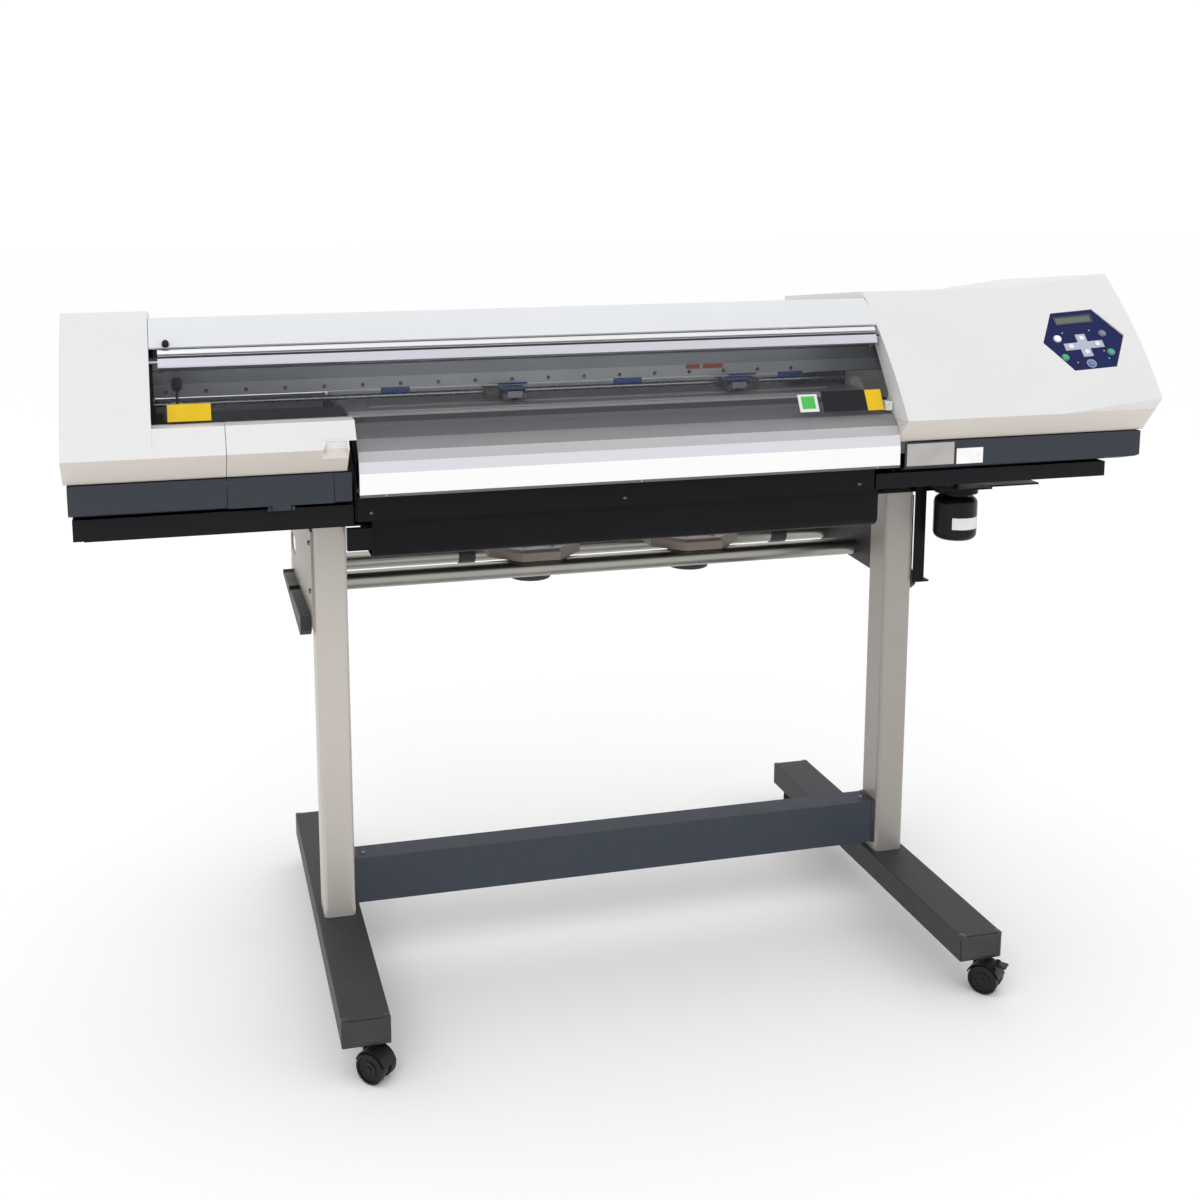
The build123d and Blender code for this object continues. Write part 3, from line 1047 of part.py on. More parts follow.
def make_pinch_wheel(centre_x):
    axle_y, axle_z = pinch_axis()
    wheel = bar_x(axle_y, axle_z, PINCH_RADIUS, centre_x - PINCH_WIDTH / 2, centre_x + PINCH_WIDTH / 2)
    return wheel - bar_x(axle_y, axle_z, PINCH_AXLE + FIT, centre_x - PINCH_WIDTH, centre_x + PINCH_WIDTH)


def make_loading_lever():
    """Lift shaft across the bed with the hand lever at its left end."""
    x0 = tall_right + SEAM - 2
    x1 = bed_right + COVER_WALL + SEAM + PLATE + 2
    lever_x = left_end + LEVER_SETBACK
    shaft = bar_x(LIFT_SHAFT_Y, lift_shaft_z, LIFT_SHAFT_RADIUS, x0, x1)
    hub = bar_x(LIFT_SHAFT_Y, lift_shaft_z, LIFT_SHAFT_RADIUS + 4, lever_x - LEVER_WIDTH / 2, lever_x + LEVER_WIDTH / 2)
    blade = Pos(0, -LEVER_LENGTH / 2, 0) * Box(4, LEVER_LENGTH, 8)
    knob = Pos(0, -LEVER_LENGTH, 0) * Rot(90, 0, 0) * Cylinder(LEVER_KNOB, 22)
    knob = fillet(knob.edges().filter_by(GeomType.CIRCLE), 3)
    return shaft + hub + Pos(lever_x, LIFT_SHAFT_Y, lift_shaft_z) * Rot(-LEVER_RISE, 0, 0) * (blade + knob)


# ---------------------------------------------------------------- window
def window_plane(x=0.0):
    """Plane of the window's outer face: its X runs along the machine, its Y up the slope."""
    tilt = math.radians(WINDOW_TILT)
    return Plane(origin=(x, WINDOW_TOP_Y, deck + WINDOW_TOP_LIFT), x_dir=(1, 0, 0),
                 z_dir=(0, -math.cos(tilt), math.sin(tilt)))


def window_pin():
    plane = window_plane()
    return plane.from_local_coords(Vector(0, -WINDOW_PIN_DROP, -WINDOW_PIN_BACK))


def window_pin_y():
    return window_pin().Y


def window_pin_z():
    return window_pin().Z


def window_span():
    return tall_right + WINDOW_GAPS[0], bed_right - WINDOW_GAPS[1]


def make_window():
    x0, x1 = window_span()
    x0 += HANDLE_CAP + PLAY
    x1 -= HANDLE_CAP + PLAY
    step_x = bed_left + WINDOW_STEP
    outline = Polyline((x0, -1), (x0, -WINDOW_LEFT_LENGTH), (step_x, -WINDOW_LEFT_LENGTH),
                       (step_x, -WINDOW_LENGTH), (x1, -WINDOW_LENGTH), (x1, -1), close=True)
    sheet = extrude(window_plane() * make_face(outline), amount=-WINDOW_THICKNESS)
    corners = sheet.edges().filter_by(lambda edge: abs(edge.length - WINDOW_THICKNESS) < 0.01)
    low = corners.filter_by(lambda edge: edge.center().Z < deck + WINDOW_TOP_LIFT - HANDLE_HEIGHT)
    return fillet(low, WINDOW_ROUND)


def make_handle_bar():
    """Extruded grip over the window's top edge, with an end cap and a hinge pin at each end."""
    x0, x1 = window_span()
    profile = Polyline((0, 0), (HANDLE_PROUD - 3, 0), (HANDLE_PROUD, -3), (HANDLE_PROUD, -8),
                       (HANDLE_PROUD - HANDLE_GROOVE, -9.5), (HANDLE_PROUD - HANDLE_GROOVE, -12.5),
                       (HANDLE_PROUD - 1, -14), (HANDLE_PROUD - 1, -HANDLE_HEIGHT + 2),
                       (HANDLE_PROUD - 3, -HANDLE_HEIGHT), (0, -HANDLE_HEIGHT), close=True)
    tilt = math.radians(WINDOW_TILT)
    section = Plane(origin=(x0, WINDOW_TOP_Y, deck + WINDOW_TOP_LIFT),
                    x_dir=(0, -math.cos(tilt), math.sin(tilt)), z_dir=(-1, 0, 0))
    up = section.y_dir.Z
    sign = 1 if up > 0 else -1
    face = make_face(section * (profile if sign > 0 else mirror(profile, Plane.XZ)))
    bar = extrude(face, amount=x1 - x0, dir=(1, 0, 0))
    plane = window_plane()
    back = WINDOW_PIN_BACK + WINDOW_PIN_RADIUS + 2
    pin = window_pin()
    for x, side in ((x0, 1), (x1, -1)):
        centre = plane.from_local_coords(Vector(x + side * HANDLE_CAP / 2, -HANDLE_HEIGHT / 2, -back / 2))
        cap = Plane(origin=centre, x_dir=(1, 0, 0), z_dir=plane.z_dir) * Box(HANDLE_CAP, HANDLE_HEIGHT, back)
        gap = WINDOW_GAPS[0] if side > 0 else WINDOW_GAPS[1]
        bar += cap + bar_x(pin.Y, pin.Z, WINDOW_PIN_RADIUS, x - side * (gap - SEAM + 2), x + side * HANDLE_CAP)
    return bar


# ---------------------------------------------------------------- control panel
def panel_plane(depth=0.0):
    """Plane of the fascia's face: X to the right, Y up the slope, Z out of the cover."""
    share = PANEL_FROM_KINK / FLARE_WIDTH
    top = Vector(0, TOP_Y, deck + TOP_LIFT)
    nose = Vector(0, NOSE_Y, deck + NOSE_LIFT)
    up = (top - nose).normalized()
    flare = Vector(FLARE_WIDTH, -FLARE_REACH, FLARE_RISE)
    out = flare.cross(up).normalized()
    centre = (top + nose) * 0.5 + Vector(flare_start, 0, 0) + flare * share
    centre += out * (FRONT_BULGE - FASCIA_SINK + depth)
    return Plane(origin=centre, x_dir=up.cross(out), z_dir=out)


def panel_hexagon(grow):
    width = PANEL_HALF_WIDTH + grow
    height = PANEL_HALF_HEIGHT + grow
    side = PANEL_SIDE + grow * 0.6
    points = [(width, 0), (side, height), (-side, height), (-width, 0), (-side, -height), (side, -height)]
    return make_face(Polyline(*points, close=True))


def make_panel_fascia():
    plane = panel_plane()
    fascia = extrude(plane * panel_hexagon(0), amount=-FASCIA_THICKNESS)
    for radius, x, y in BUTTONS.values():
        fascia -= extrude(plane * Pos(x, y) * Circle(radius + PLAY), amount=-FASCIA_THICKNESS - 1)
    recess = Pos(*DISPLAY_AT) * Rectangle(*DISPLAY)
    return fascia - extrude(plane * recess, amount=-0.8)


def make_button(radius, x, y):
    plane = panel_plane(BUTTON_PROUD)
    face = plane * Pos(x, y) * Circle(radius)
    return extrude(face, amount=-BUTTON_STEM)


# ---------------------------------------------------------------- rear sockets
def make_power_inlet():
    z = deck + INLET_LIFT
    width, height, depth = INLET_FLANGE
    inlet = block(INLET_X - width / 2, INLET_X + width / 2, REAR_Y, REAR_Y + depth, z - height / 2, z + height / 2)
    width, height, depth = INLET_BODY
    inlet += block(INLET_X - width / 2, INLET_X + width / 2, REAR_Y - depth, REAR_Y + 1, z - height / 2, z + height / 2)
    width, height, depth = INLET_WELL
    rear = REAR_Y + INLET_FLANGE[2]
    inlet -= block(INLET_X - width / 2, INLET_X + width / 2, rear - depth, rear + 1, z - height / 2, z + height / 2)
    for offset in (-1, 0, 1):
        pin_x = INLET_X + offset * INLET_PIN_PITCH
        inlet += block(pin_x - 1, pin_x + 1, rear - depth, rear - INLET_PIN_DEPTH, z - 2, z + 2)
    return inlet


def make_power_switch():
    """Rocker that tips about a line along X."""
    x = INLET_X - SWITCH_PITCH
    z = deck + INLET_LIFT
    width, height = SWITCH_SIZE
    points = [(REAR_Y + 3, z + height / 2 - 1), (REAR_Y + 1, z), (REAR_Y - 1, z - height / 2 + 1),
              (REAR_Y - 8, z - height / 2 + 2), (REAR_Y - 8, z + height / 2 - 2)]
    return side_prism(points, x - width / 2, x + width / 2)


# ---------------------------------------------------------------- write every node
os.makedirs("parts", exist_ok=True)

save(make_foot(post_xs[0]), "left_foot")
save(make_foot(post_xs[1]), "right_foot")
save(make_post(post_xs[0]), "left_post")
save(make_post(post_xs[1]), "right_post")
save(make_cross_beam(), "cross_beam")
for caster_name in CASTER_TURNS:
    place = caster_place(caster_name)
    braked = caster_name == "front_right"
    save(place * make_caster_hood(braked), f"{caster_name}_caster_hood")
    save(place * make_caster_wheels(), f"{caster_name}_caster_wheels")
save(caster_place("front_right") * make_caster_brake(), "front_right_caster_brake")
save(make_roll_hangers(), "roll_hangers")
save(make_front_shaft(), "front_shaft")
save(make_rear_shaft(), "rear_shaft")
save(make_media_flange(LEFT_FLANGE_X), "left_media_flange")
save(make_media_flange(RIGHT_FLANGE_X), "right_media_flange")
save(make_drain_bottle(), "drain_bottle")
save(make_bottle_bracket(), "bottle_bracket")
save(make_chassis(), "chassis")
save(make_front_beam(), "front_beam")
save(make_lower_front_panel(), "lower_front_panel")
save(make_left_cover(), "left_cover")
save(make_front_left_cover(), "front_left_cover")
save(make_right_cover(), "right_cover")
save(make_top_cover(), "top_cover")
save(make_rear_cover(), "rear_cover")
save(make_lower_panels(), "lower_panels")
save(make_cartridge_door(), "cartridge_door")
save(make_drip_trays(), "drip_trays")
save(make_platen(), "platen")
save(make_apron(), "apron")
save(make_grit_roller(), "grit_roller")
save(make_feed_pinion(), "feed_pinion")
save(make_inner_modules(), "inner_modules")
save(make_guide_rail(), "guide_rail")
save(make_machine_screws(), "machine_screws")
save(make_head_carriage(), "head_carriage")
save(make_blade_holder(), "blade_holder")
save(make_pinch_arm(LEFT_PINCH_X, -1), "left_pinch_arm")
save(make_pinch_arm(RIGHT_PINCH_X, 1), "right_pinch_arm")
save(make_pinch_wheel(LEFT_PINCH_X), "left_pinch_wheel")
save(make_pinch_wheel(RIGHT_PINCH_X), "right_pinch_wheel")
save(make_loading_lever(), "loading_lever")
save(make_window(), "window")
save(make_handle_bar(), "handle_bar")
save(make_panel_fascia(), "panel_fascia")
for button_name, (button_radius, button_x, button_y) in BUTTONS.items():
    save(make_button(button_radius, button_x, button_y), button_name)
save(make_power_inlet(), "power_inlet")
save(make_power_switch(), "power_switch")
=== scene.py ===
"""Looks of a roll-fed print-and-cut machine on a castered stand, built round its CAD frame."""

import json
import math

import bpy
from bpy.props import FloatProperty, FloatVectorProperty, IntProperty, PointerProperty
from mathutils import Matrix, Vector


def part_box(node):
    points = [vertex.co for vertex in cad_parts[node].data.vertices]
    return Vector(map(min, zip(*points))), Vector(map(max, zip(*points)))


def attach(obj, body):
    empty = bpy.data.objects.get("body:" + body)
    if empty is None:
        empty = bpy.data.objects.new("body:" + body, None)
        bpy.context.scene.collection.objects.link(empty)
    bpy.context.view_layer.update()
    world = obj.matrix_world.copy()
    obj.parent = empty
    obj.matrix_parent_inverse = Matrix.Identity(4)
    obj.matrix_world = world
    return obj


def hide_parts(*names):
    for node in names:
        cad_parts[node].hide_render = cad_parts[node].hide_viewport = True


bl_info = {
    "name": "Print-and-cut machine",
    "version": (1, 0, 0),
    "blender": (4, 5, 0),
    "location": "View3D > Sidebar > Cutter",
    "description": "Builds the finishes and fine parts of a print-and-cut machine round its CAD frame",
    "category": "Add Mesh",
}

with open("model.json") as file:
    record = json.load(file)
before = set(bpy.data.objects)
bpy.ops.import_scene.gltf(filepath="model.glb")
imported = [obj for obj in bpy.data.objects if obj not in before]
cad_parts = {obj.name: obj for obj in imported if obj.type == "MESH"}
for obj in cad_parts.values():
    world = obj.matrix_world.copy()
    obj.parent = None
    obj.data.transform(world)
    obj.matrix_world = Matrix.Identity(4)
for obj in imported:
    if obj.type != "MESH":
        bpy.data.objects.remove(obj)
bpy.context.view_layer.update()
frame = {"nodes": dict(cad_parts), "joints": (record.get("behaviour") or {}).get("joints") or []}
JOINTS = {joint["name"]: joint for joint in frame["joints"]}
CASTERS = ("front_left", "front_right", "rear_left", "rear_right")
ARROW_KEYS = ("up_key", "down_key", "left_key", "right_key")
X, Y, Z = Vector((1, 0, 0)), Vector((0, 1, 0)), Vector((0, 0, 1))

# noise scales, in waves to the metre
CLOUD, DUST, MARK, RUB, HAIR, PORE, PEEL, SPECK = 5.0, 9.0, 60.0, 70.0, 900.0, 900.0, 350.0, 900.0
HAIR_RUN = 6.0
BARE_STEEL = 0.42


# ------------------------------------------------------------------ settings
class CutterColours(bpy.types.PropertyGroup):
    """Colours that a user may change."""

    cover: FloatVectorProperty(
        name="Covers", description="Warm white of the moulded end covers",
        subtype="COLOR", min=0.0, max=1.0, default=(0.685, 0.68, 0.68))
    crown: FloatVectorProperty(
        name="Top cover", description="Silver white of the long top cover",
        subtype="COLOR", min=0.0, max=1.0, default=(0.655, 0.67, 0.695))
    slate: FloatVectorProperty(
        name="Lower panels", description="Slate of the lower panels and the cartridge door",
        subtype="COLOR", min=0.0, max=1.0, default=(0.025, 0.031, 0.042))
    chassis: FloatVectorProperty(
        name="Chassis", description="Black of the chassis, beams and trays",
        subtype="COLOR", min=0.0, max=1.0, default=(0.0062, 0.0063, 0.0078))
    post: FloatVectorProperty(
        name="Posts", description="Silver beige paint of the posts",
        subtype="COLOR", min=0.0, max=1.0, default=(0.52, 0.485, 0.445))
    foot: FloatVectorProperty(
        name="Feet", description="Dark grey paint of the feet",
        subtype="COLOR", min=0.0, max=1.0, default=(0.045, 0.046, 0.050))
    beam: FloatVectorProperty(
        name="Cross beam", description="Slate paint of the cross beam",
        subtype="COLOR", min=0.0, max=1.0, default=(0.042, 0.051, 0.068))
    window: FloatVectorProperty(
        name="Window", description="Smoke tint of the window",
        subtype="COLOR", min=0.0, max=1.0, default=(0.035, 0.04, 0.05))
    panel: FloatVectorProperty(
        name="Key panel", description="Navy film of the key panel",
        subtype="COLOR", min=0.0, max=1.0, default=(0.008, 0.013, 0.078))
    blue: FloatVectorProperty(
        name="Blue parts", description="Blue of the pinch caps and index pads",
        subtype="COLOR", min=0.0, max=1.0, default=(0.03, 0.09, 0.32))


class CutterSizes(bpy.types.PropertyGroup):
    """Sizes of the fine parts that a user may change."""

    window_alpha: FloatProperty(
        name="Window density", description="How much of the window's tint covers what is behind it",
        subtype="FACTOR", min=0.0, max=1.0, default=0.12)
    rib_count: IntProperty(
        name="Flange ribs", description="Ribs on each media flange", min=4, max=24, default=8)
    belt_height: FloatProperty(
        name="Belt height", description="Height of the carriage belt",
        unit="LENGTH", min=0.004, max=0.02, default=0.008)


def colours():
    return bpy.context.scene.cutter_colours


def sizes():
    return bpy.context.scene.cutter_sizes


# ------------------------------------------------------------------ shader building
class Wire:
    """A shader output that takes part in Python sums."""

    def __init__(self, finish, socket):
        self.finish = finish
        self.socket = socket

    def sum_up(self, operation, *values):
        return self.finish.node("ShaderNodeMath", {"operation": operation}, dict(enumerate(values)))

    def __add__(self, other):
        return self.sum_up("ADD", self, other)

    __radd__ = __add__

    def __sub__(self, other):
        return self.sum_up("SUBTRACT", self, other)

    def __rsub__(self, other):
        return self.sum_up("SUBTRACT", other, self)

    def __mul__(self, other):
        return self.sum_up("MULTIPLY", self, other)

    __rmul__ = __mul__

    def __gt__(self, other):
        return self.sum_up("GREATER_THAN", self, other)

    def __lt__(self, other):
        return self.sum_up("LESS_THAN", self, other)

    def __mod__(self, other):
        return self.sum_up("FLOORED_MODULO", self, other)

    def __pow__(self, other):
        return self.sum_up("POWER", self, other)

    def __abs__(self):
        return self.sum_up("ABSOLUTE", self)


class Finish:
    """A material under construction."""

    def __init__(self, name, **constants):
        self.material = bpy.data.materials.new(name)
        self.material.use_nodes = True
        self.tree = self.material.node_tree
        self.tree.nodes.clear()
        self.shader = self.tree.nodes.new("ShaderNodeBsdfPrincipled")
        self.output = self.tree.nodes.new("ShaderNodeOutputMaterial")
        self.tree.links.new(self.shader.outputs[0], self.output.inputs[0])
        for socket, value in constants.items():
            self.set(socket.replace("_", " "), value)

    def node(self, kind, settings=None, inputs=None, output=0):
        """A node with its settings, then its values and links; gives the chosen output."""
        made = self.tree.nodes.new(kind)
        for key, value in (settings or {}).items():
            if key == "stops":
                ramp = made.color_ramp
                while len(ramp.elements) < len(value):
                    ramp.elements.new(0.5)
                for element, (position, colour) in zip(ramp.elements, value):
                    element.position = position
                    element.color = (*colour, 1.0)
            else:
                setattr(made, key, value)
        for key, value in (inputs or {}).items():
            if isinstance(value, Wire):
                self.tree.links.new(value.socket, made.inputs[key])
            else:
                made.inputs[key].default_value = value
        return Wire(self, made.outputs[output])

    def set(self, socket, value):
        """Give a socket of the shader its value or link."""
        if isinstance(value, Wire):
            self.tree.links.new(value.socket, self.shader.inputs[socket])
        else:
            self.shader.inputs[socket].default_value = value

    def place(self, centre=(0, 0, 0), scale=(1, 1, 1)):
        """Object coordinates, moved to a centre and stretched."""
        at = self.node("ShaderNodeTexCoord", output="Object")
        moved = self.node("ShaderNodeVectorMath", {"operation": "SUBTRACT"}, {0: at, 1: centre})
        return self.node("ShaderNodeVectorMath", {"operation": "MULTIPLY"}, {0: moved, 1: scale})

    def axes(self, vector):
        """The three numbers of a vector."""
        return [self.node("ShaderNodeSeparateXYZ", None, {0: vector}, output=index) for index in range(3)]

    def noise(self, vector, scale, detail=2.0, roughness=0.5):
        """Cloudy numbers between 0 and 1."""
        return self.node("ShaderNodeTexNoise", None,
                         {"Vector": vector, "Scale": scale, "Detail": detail, "Roughness": roughness})

    def mix(self, share, first, second):
        """The first colour, with a share of the second."""
        first = first if isinstance(first, Wire) else (*first, 1.0)
        second = second if isinstance(second, Wire) else (*second, 1.0)
        return self.node("ShaderNodeMix", {"data_type": "RGBA", "clamp_factor": True},
                         {0: share, 6: first, 7: second}, output=2)

    def ramp(self, share, *stops):
        return self.node("ShaderNodeValToRGB", {"stops": stops}, {0: share})

    def bump(self, height, strength, distance):
        """Let a height tilt the surface."""
        self.set("Normal", self.node("ShaderNodeBump", None,
                                     {"Height": height, "Strength": strength, "Distance": distance}))

    def skin(self, at, grain, strength=0.2, share=0.25):
        """Fine pebbles of a grain's size."""
        self.bump(self.noise(at, 1.0 / (grain * 3)), strength, grain * share)


def shade(colour, factor):
    """A colour made darker or lighter."""
    return tuple(min(1.0, channel * factor) for channel in colour)


def moulded(name, colour, roughness=0.36, grain=0.00035, variation=0.05, coat=0.12, gleam=0.5, low=None):
    """Moulded plastic with grain, flow clouds and marks; low gives a height and the painted shade colour
    below it.
    """
    finish = Finish(name, Coat_Weight=coat, Coat_Roughness=0.35, Specular_IOR_Level=gleam)
    at = finish.place()
    clouds = finish.noise(at, CLOUD, 3.0)
    marks = finish.noise(at, MARK, 4.0, 0.7)
    share = clouds * 0.7 + marks * 0.3
    body = finish.mix(share, shade(colour, 1 - variation), shade(colour, 1 + variation))
    # painted shade: below the height the colour is mixed towards the darker foot colour
    if low is not None:
        height, foot = low
        _, _, z = finish.axes(at)
        body = finish.mix((z < height) * 0.8, body, foot)
    finish.set("Base Color", body)
    finish.set("Roughness", roughness + (marks - 0.5) * 0.16)
    finish.skin(at, grain, 0.16, 0.3)
    return finish.material


def coated(name, colour, roughness=0.42, metallic=0.0, grain=0.0006, variation=0.09, wear=0.0,
           gleam=0.5):
    """Powder-coated sheet metal with a fine pebbled skin, dust and rubbed patches."""
    finish = Finish(name, Metallic=metallic, Specular_IOR_Level=gleam)
    at = finish.place()
    dust = finish.noise(at, DUST, 5.0, 0.62)
    rubs = finish.noise(at, RUB, 3.0, 0.6)
    body = finish.mix(dust, shade(colour, 1 - variation), shade(colour, 1 + variation))
    if wear:
        worn = finish.ramp(rubs * 0.6 + dust * 0.4, (0.56, (0, 0, 0)), (0.72, (1, 1, 1)))
        bare = tuple(channel + (BARE_STEEL - channel) * wear for channel in colour)
        body = finish.mix(finish.node("ShaderNodeRGBToBW", None, {0: worn}), body, bare)
    finish.set("Base Color", body)
    finish.set("Roughness", roughness + (rubs - 0.5) * 0.2)
    finish.skin(at, grain)
    return finish.material


def drawn_metal(name, colour, along=0, roughness=0.28, metallic=1.0):
    """Drawn or ground metal with hair lines along one axis."""
    finish = Finish(name, Metallic=metallic)
    stretch = [HAIR, HAIR, HAIR]
    stretch[along] = HAIR_RUN
    lines = finish.noise(finish.place(scale=stretch), 1.0, 3.0, 0.65)
    stains = finish.noise(finish.place(), 14.0, 3.0)
    finish.set("Base Color", finish.mix(stains, shade(colour, 0.86), shade(colour, 1.08)))
    finish.set("Roughness", roughness + (lines - 0.5) * 0.18 + (stains - 0.5) * 0.1)
    finish.bump(lines, 0.12, 0.00006)
    return finish.material


def smoked_sheet(name, colour, alpha):
    """Smoked clear sheet with a faint haze and wiping marks."""
    finish = Finish(name, IOR=1.49, Specular_IOR_Level=0.6)
    at = finish.place()
    haze = finish.noise(at, 7.0, 4.0, 0.6)
    wipes = finish.noise(finish.place(scale=(14.0, 90.0, 90.0)), 1.0, 4.0, 0.6)
    finish.set("Base Color", finish.mix(haze, colour, shade(colour, 1.6)))
    finish.set("Roughness", 0.04 + wipes * 0.08)
    finish.set("Alpha", alpha + (haze - 0.5) * 0.1)
    finish.bump(wipes, 0.02, 0.0001)
    return finish.material


def rubbery(name, colour, roughness=0.72):
    """Soft black rubber or tyre compound with dust in its pores."""
    finish = Finish(name, Specular_IOR_Level=0.2)
    at = finish.place()
    pores = finish.noise(at, PORE, 3.0, 0.6)
    dust = finish.noise(at, 45.0, 4.0, 0.6)
    finish.set("Base Color", finish.mix(dust, shade(colour, 0.8), tuple(c + 0.008 for c in colour)))
    finish.set("Roughness", roughness + (dust - 0.5) * 0.2)
    finish.bump(pores, 0.3, 0.0002)
    return finish.material


def printed_film(name, colour, roughness=0.22):
    """Printed polyester film over a plate, with a slight orange peel."""
    finish = Finish(name, Coat_Weight=0.0, Specular_IOR_Level=0.15)
    at = finish.place()
    peel = finish.noise(at, PEEL)
    cloud = finish.noise(at, 30.0, 3.0)
    finish.set("Base Color", finish.mix(cloud, shade(colour, 0.85), shade(colour, 1.2)))
    finish.set("Roughness", roughness + (peel - 0.5) * 0.08)
    finish.bump(peel, 0.08, 0.0001)
    return finish.material


def two_tone(name, test, first, second, roughness=(0.4, 0.5), metallic=(0.0, 0.0)):
    """One node in two finishes: a test on x, y and z gives 1 where the second one is."""
    finish = Finish(name)
    at = finish.place()
    share = test(*finish.axes(at))
    dust = finish.noise(at, 12.0, 4.0, 0.6)
    fine = finish.noise(at, 80.0, 3.0)
    one = finish.mix(dust, shade(first, 0.9), shade(first, 1.1))
    two = finish.mix(dust, shade(second, 0.85), shade(second, 1.15))
    finish.set("Base Color", finish.mix(share, one, two))
    finish.set("Roughness", share * (roughness[1] - roughness[0]) + roughness[0] + (fine - 0.5) * 0.15)
    finish.set("Metallic", share * (metallic[1] - metallic[0]) + metallic[0])
    finish.skin(at, 0.0006, 0.15)
    return finish.material


def glowing(name, colour, strength):
    """A small lamp under a diffusing lens."""
    finish = Finish(name, Emission_Strength=strength)
    speck = finish.noise(finish.place(), SPECK)
    finish.set("Base Color", finish.mix(speck, shade(colour, 0.7), colour))
    finish.set("Emission Color", finish.mix(speck, shade(colour, 0.6), colour))
    finish.set("Roughness", 0.25 + speck * 0.1)
    return finish.material


# ------------------------------------------------------------------ modelling
def put_down():
    """Leave edit mode with nothing selected."""
    if bpy.context.object and bpy.context.object.mode != "OBJECT":
        bpy.ops.object.mode_set(mode="OBJECT")
    bpy.ops.object.select_all(action="DESELECT")


def take(piece):
    """Make one piece the only selected one."""
    put_down()
    piece.select_set(True)
    bpy.context.view_layer.objects.active = piece


def start_block(low, high):
    """A block between two corners, ready to be shaped."""
    put_down()
    low, high = Vector(low), Vector(high)
    bpy.ops.mesh.primitive_cube_add(size=1.0, location=(low + high) / 2)
    piece = bpy.context.object
    piece.scale = high - low
    bpy.ops.object.transform_apply(location=True, rotation=True, scale=True)
    return piece


def start_disc(centre, axis, radius, length, sides=48):
    """A round bar about an axis, ready to be shaped."""
    put_down()
    turn = Vector(axis).normalized().to_track_quat("Z", "Y").to_euler()
    bpy.ops.mesh.primitive_cylinder_add(
        vertices=sides, radius=radius, depth=length, location=centre, rotation=turn)
    piece = bpy.context.object
    bpy.ops.object.transform_apply(location=True, rotation=True, scale=True)
    return piece


def pick_faces(piece, test):
    """Enter edit mode with only the faces that pass the test selected."""
    take(piece)
    bpy.context.tool_settings.mesh_select_mode = (False, False, True)
    mesh = piece.data
    for group in (mesh.vertices, mesh.edges, mesh.polygons):
        group.foreach_set("select", [False] * len(group))
    for face in mesh.polygons:
        face.select = bool(test(face.center, face.normal))
    bpy.ops.object.mode_set(mode="EDIT")


def facing(axis, limit=0.95):
    """A test for faces that look along an axis."""
    direction = Vector(axis).normalized()
    return lambda centre, normal: normal.dot(direction) > limit


def inset(amount, depth=0.0):
    """Draw a rim round what is selected, and raise or sink what is inside it."""
    bpy.ops.mesh.inset(thickness=amount, depth=depth, use_even_offset=True)


def push(x=0.0, y=0.0, z=0.0):
    """Extrude what is selected."""
    bpy.ops.mesh.extrude_region_move(TRANSFORM_OT_translate={"value": (x, y, z)})


def narrow(share, rise=1.0):
    """Shrink what is selected about its middle."""
    bpy.ops.transform.resize(value=(share, share, rise))


def plate(low, high, out, rim, depth=0.0):
    """A block with a rim round the face that looks out, left selected for more shaping."""
    piece = start_block(low, high)
    pick_faces(piece, facing(out))
    inset(rim, depth)
    return piece


def bore(piece, axis, wall):
    """Open a round bar into a ring with a given wall."""
    direction = Vector(axis).normalized()
    pick_faces(piece, lambda centre, normal: abs(normal.dot(direction)) > 0.9)
    inset(wall)
    bpy.ops.mesh.bridge_edge_loops()
    take(piece)
    return piece


def soften(piece, width, segments=2, angle=35.0):
    """Round the piece's edges with a bevel."""
    take(piece)
    bevel = piece.modifiers.new("soft edges", "BEVEL")
    bevel.width = width
    bevel.segments = segments
    bevel.limit_method = "ANGLE"
    bevel.angle_limit = math.radians(angle)
    bpy.ops.object.modifier_apply(modifier=bevel.name)
    return piece


def gather(pieces):
    """Join several pieces into the first."""
    take(pieces[0])
    for piece in pieces[1:]:
        piece.select_set(True)
    if len(pieces) > 1:
        bpy.ops.object.join()
    return bpy.context.object


def stand_on(piece, matrix):
    """Carry a piece modelled at the origin to its place."""
    take(piece)
    piece.matrix_world = matrix @ piece.matrix_world
    bpy.ops.object.transform_apply(location=True, rotation=True, scale=True)
    return piece


def thicken(piece, wall):
    """Give an open sheet its wall, outwards."""
    take(piece)
    sheet = piece.modifiers.new("wall", "SOLIDIFY")
    sheet.thickness = wall
    sheet.offset = 1.0
    bpy.ops.object.modifier_apply(modifier=sheet.name)


def copies(pattern, places):
    """Copies of one piece, each with its own mesh, carried to their places and joined."""
    made = []
    for place in places:
        take(pattern)
        bpy.ops.object.duplicate()
        made.append(stand_on(bpy.context.object, place))
    return gather(made)


def discard(pattern):
    """Remove a pattern whose copies are made."""
    take(pattern)
    bpy.ops.object.delete()


def turned_to(place, out, size=(1, 1, 1)):
    """The place of a piece that was modelled upright at the origin and looks out there."""
    turn = Vector(out).normalized().to_track_quat("Z", "Y").to_matrix().to_4x4()
    turn.translation = place
    return turn @ Matrix.Diagonal((*size, 1.0))


def settle(piece, name, body, material):
    """Name a finished piece, smooth it, give it its material and let it ride."""
    take(piece)
    bpy.ops.object.transform_apply(location=True, rotation=True, scale=True)
    bpy.ops.object.shade_smooth_by_angle(angle=math.radians(32))
    piece.name = name
    piece.data.name = name
    piece.data.materials.clear()
    piece.data.materials.append(material)
    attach(piece, body)
    return piece


def dress(material, *nodes):
    """Give CAD nodes their finish."""
    for node in nodes:
        mesh = frame["nodes"][node].data
        mesh.materials.clear()
        mesh.materials.append(material)


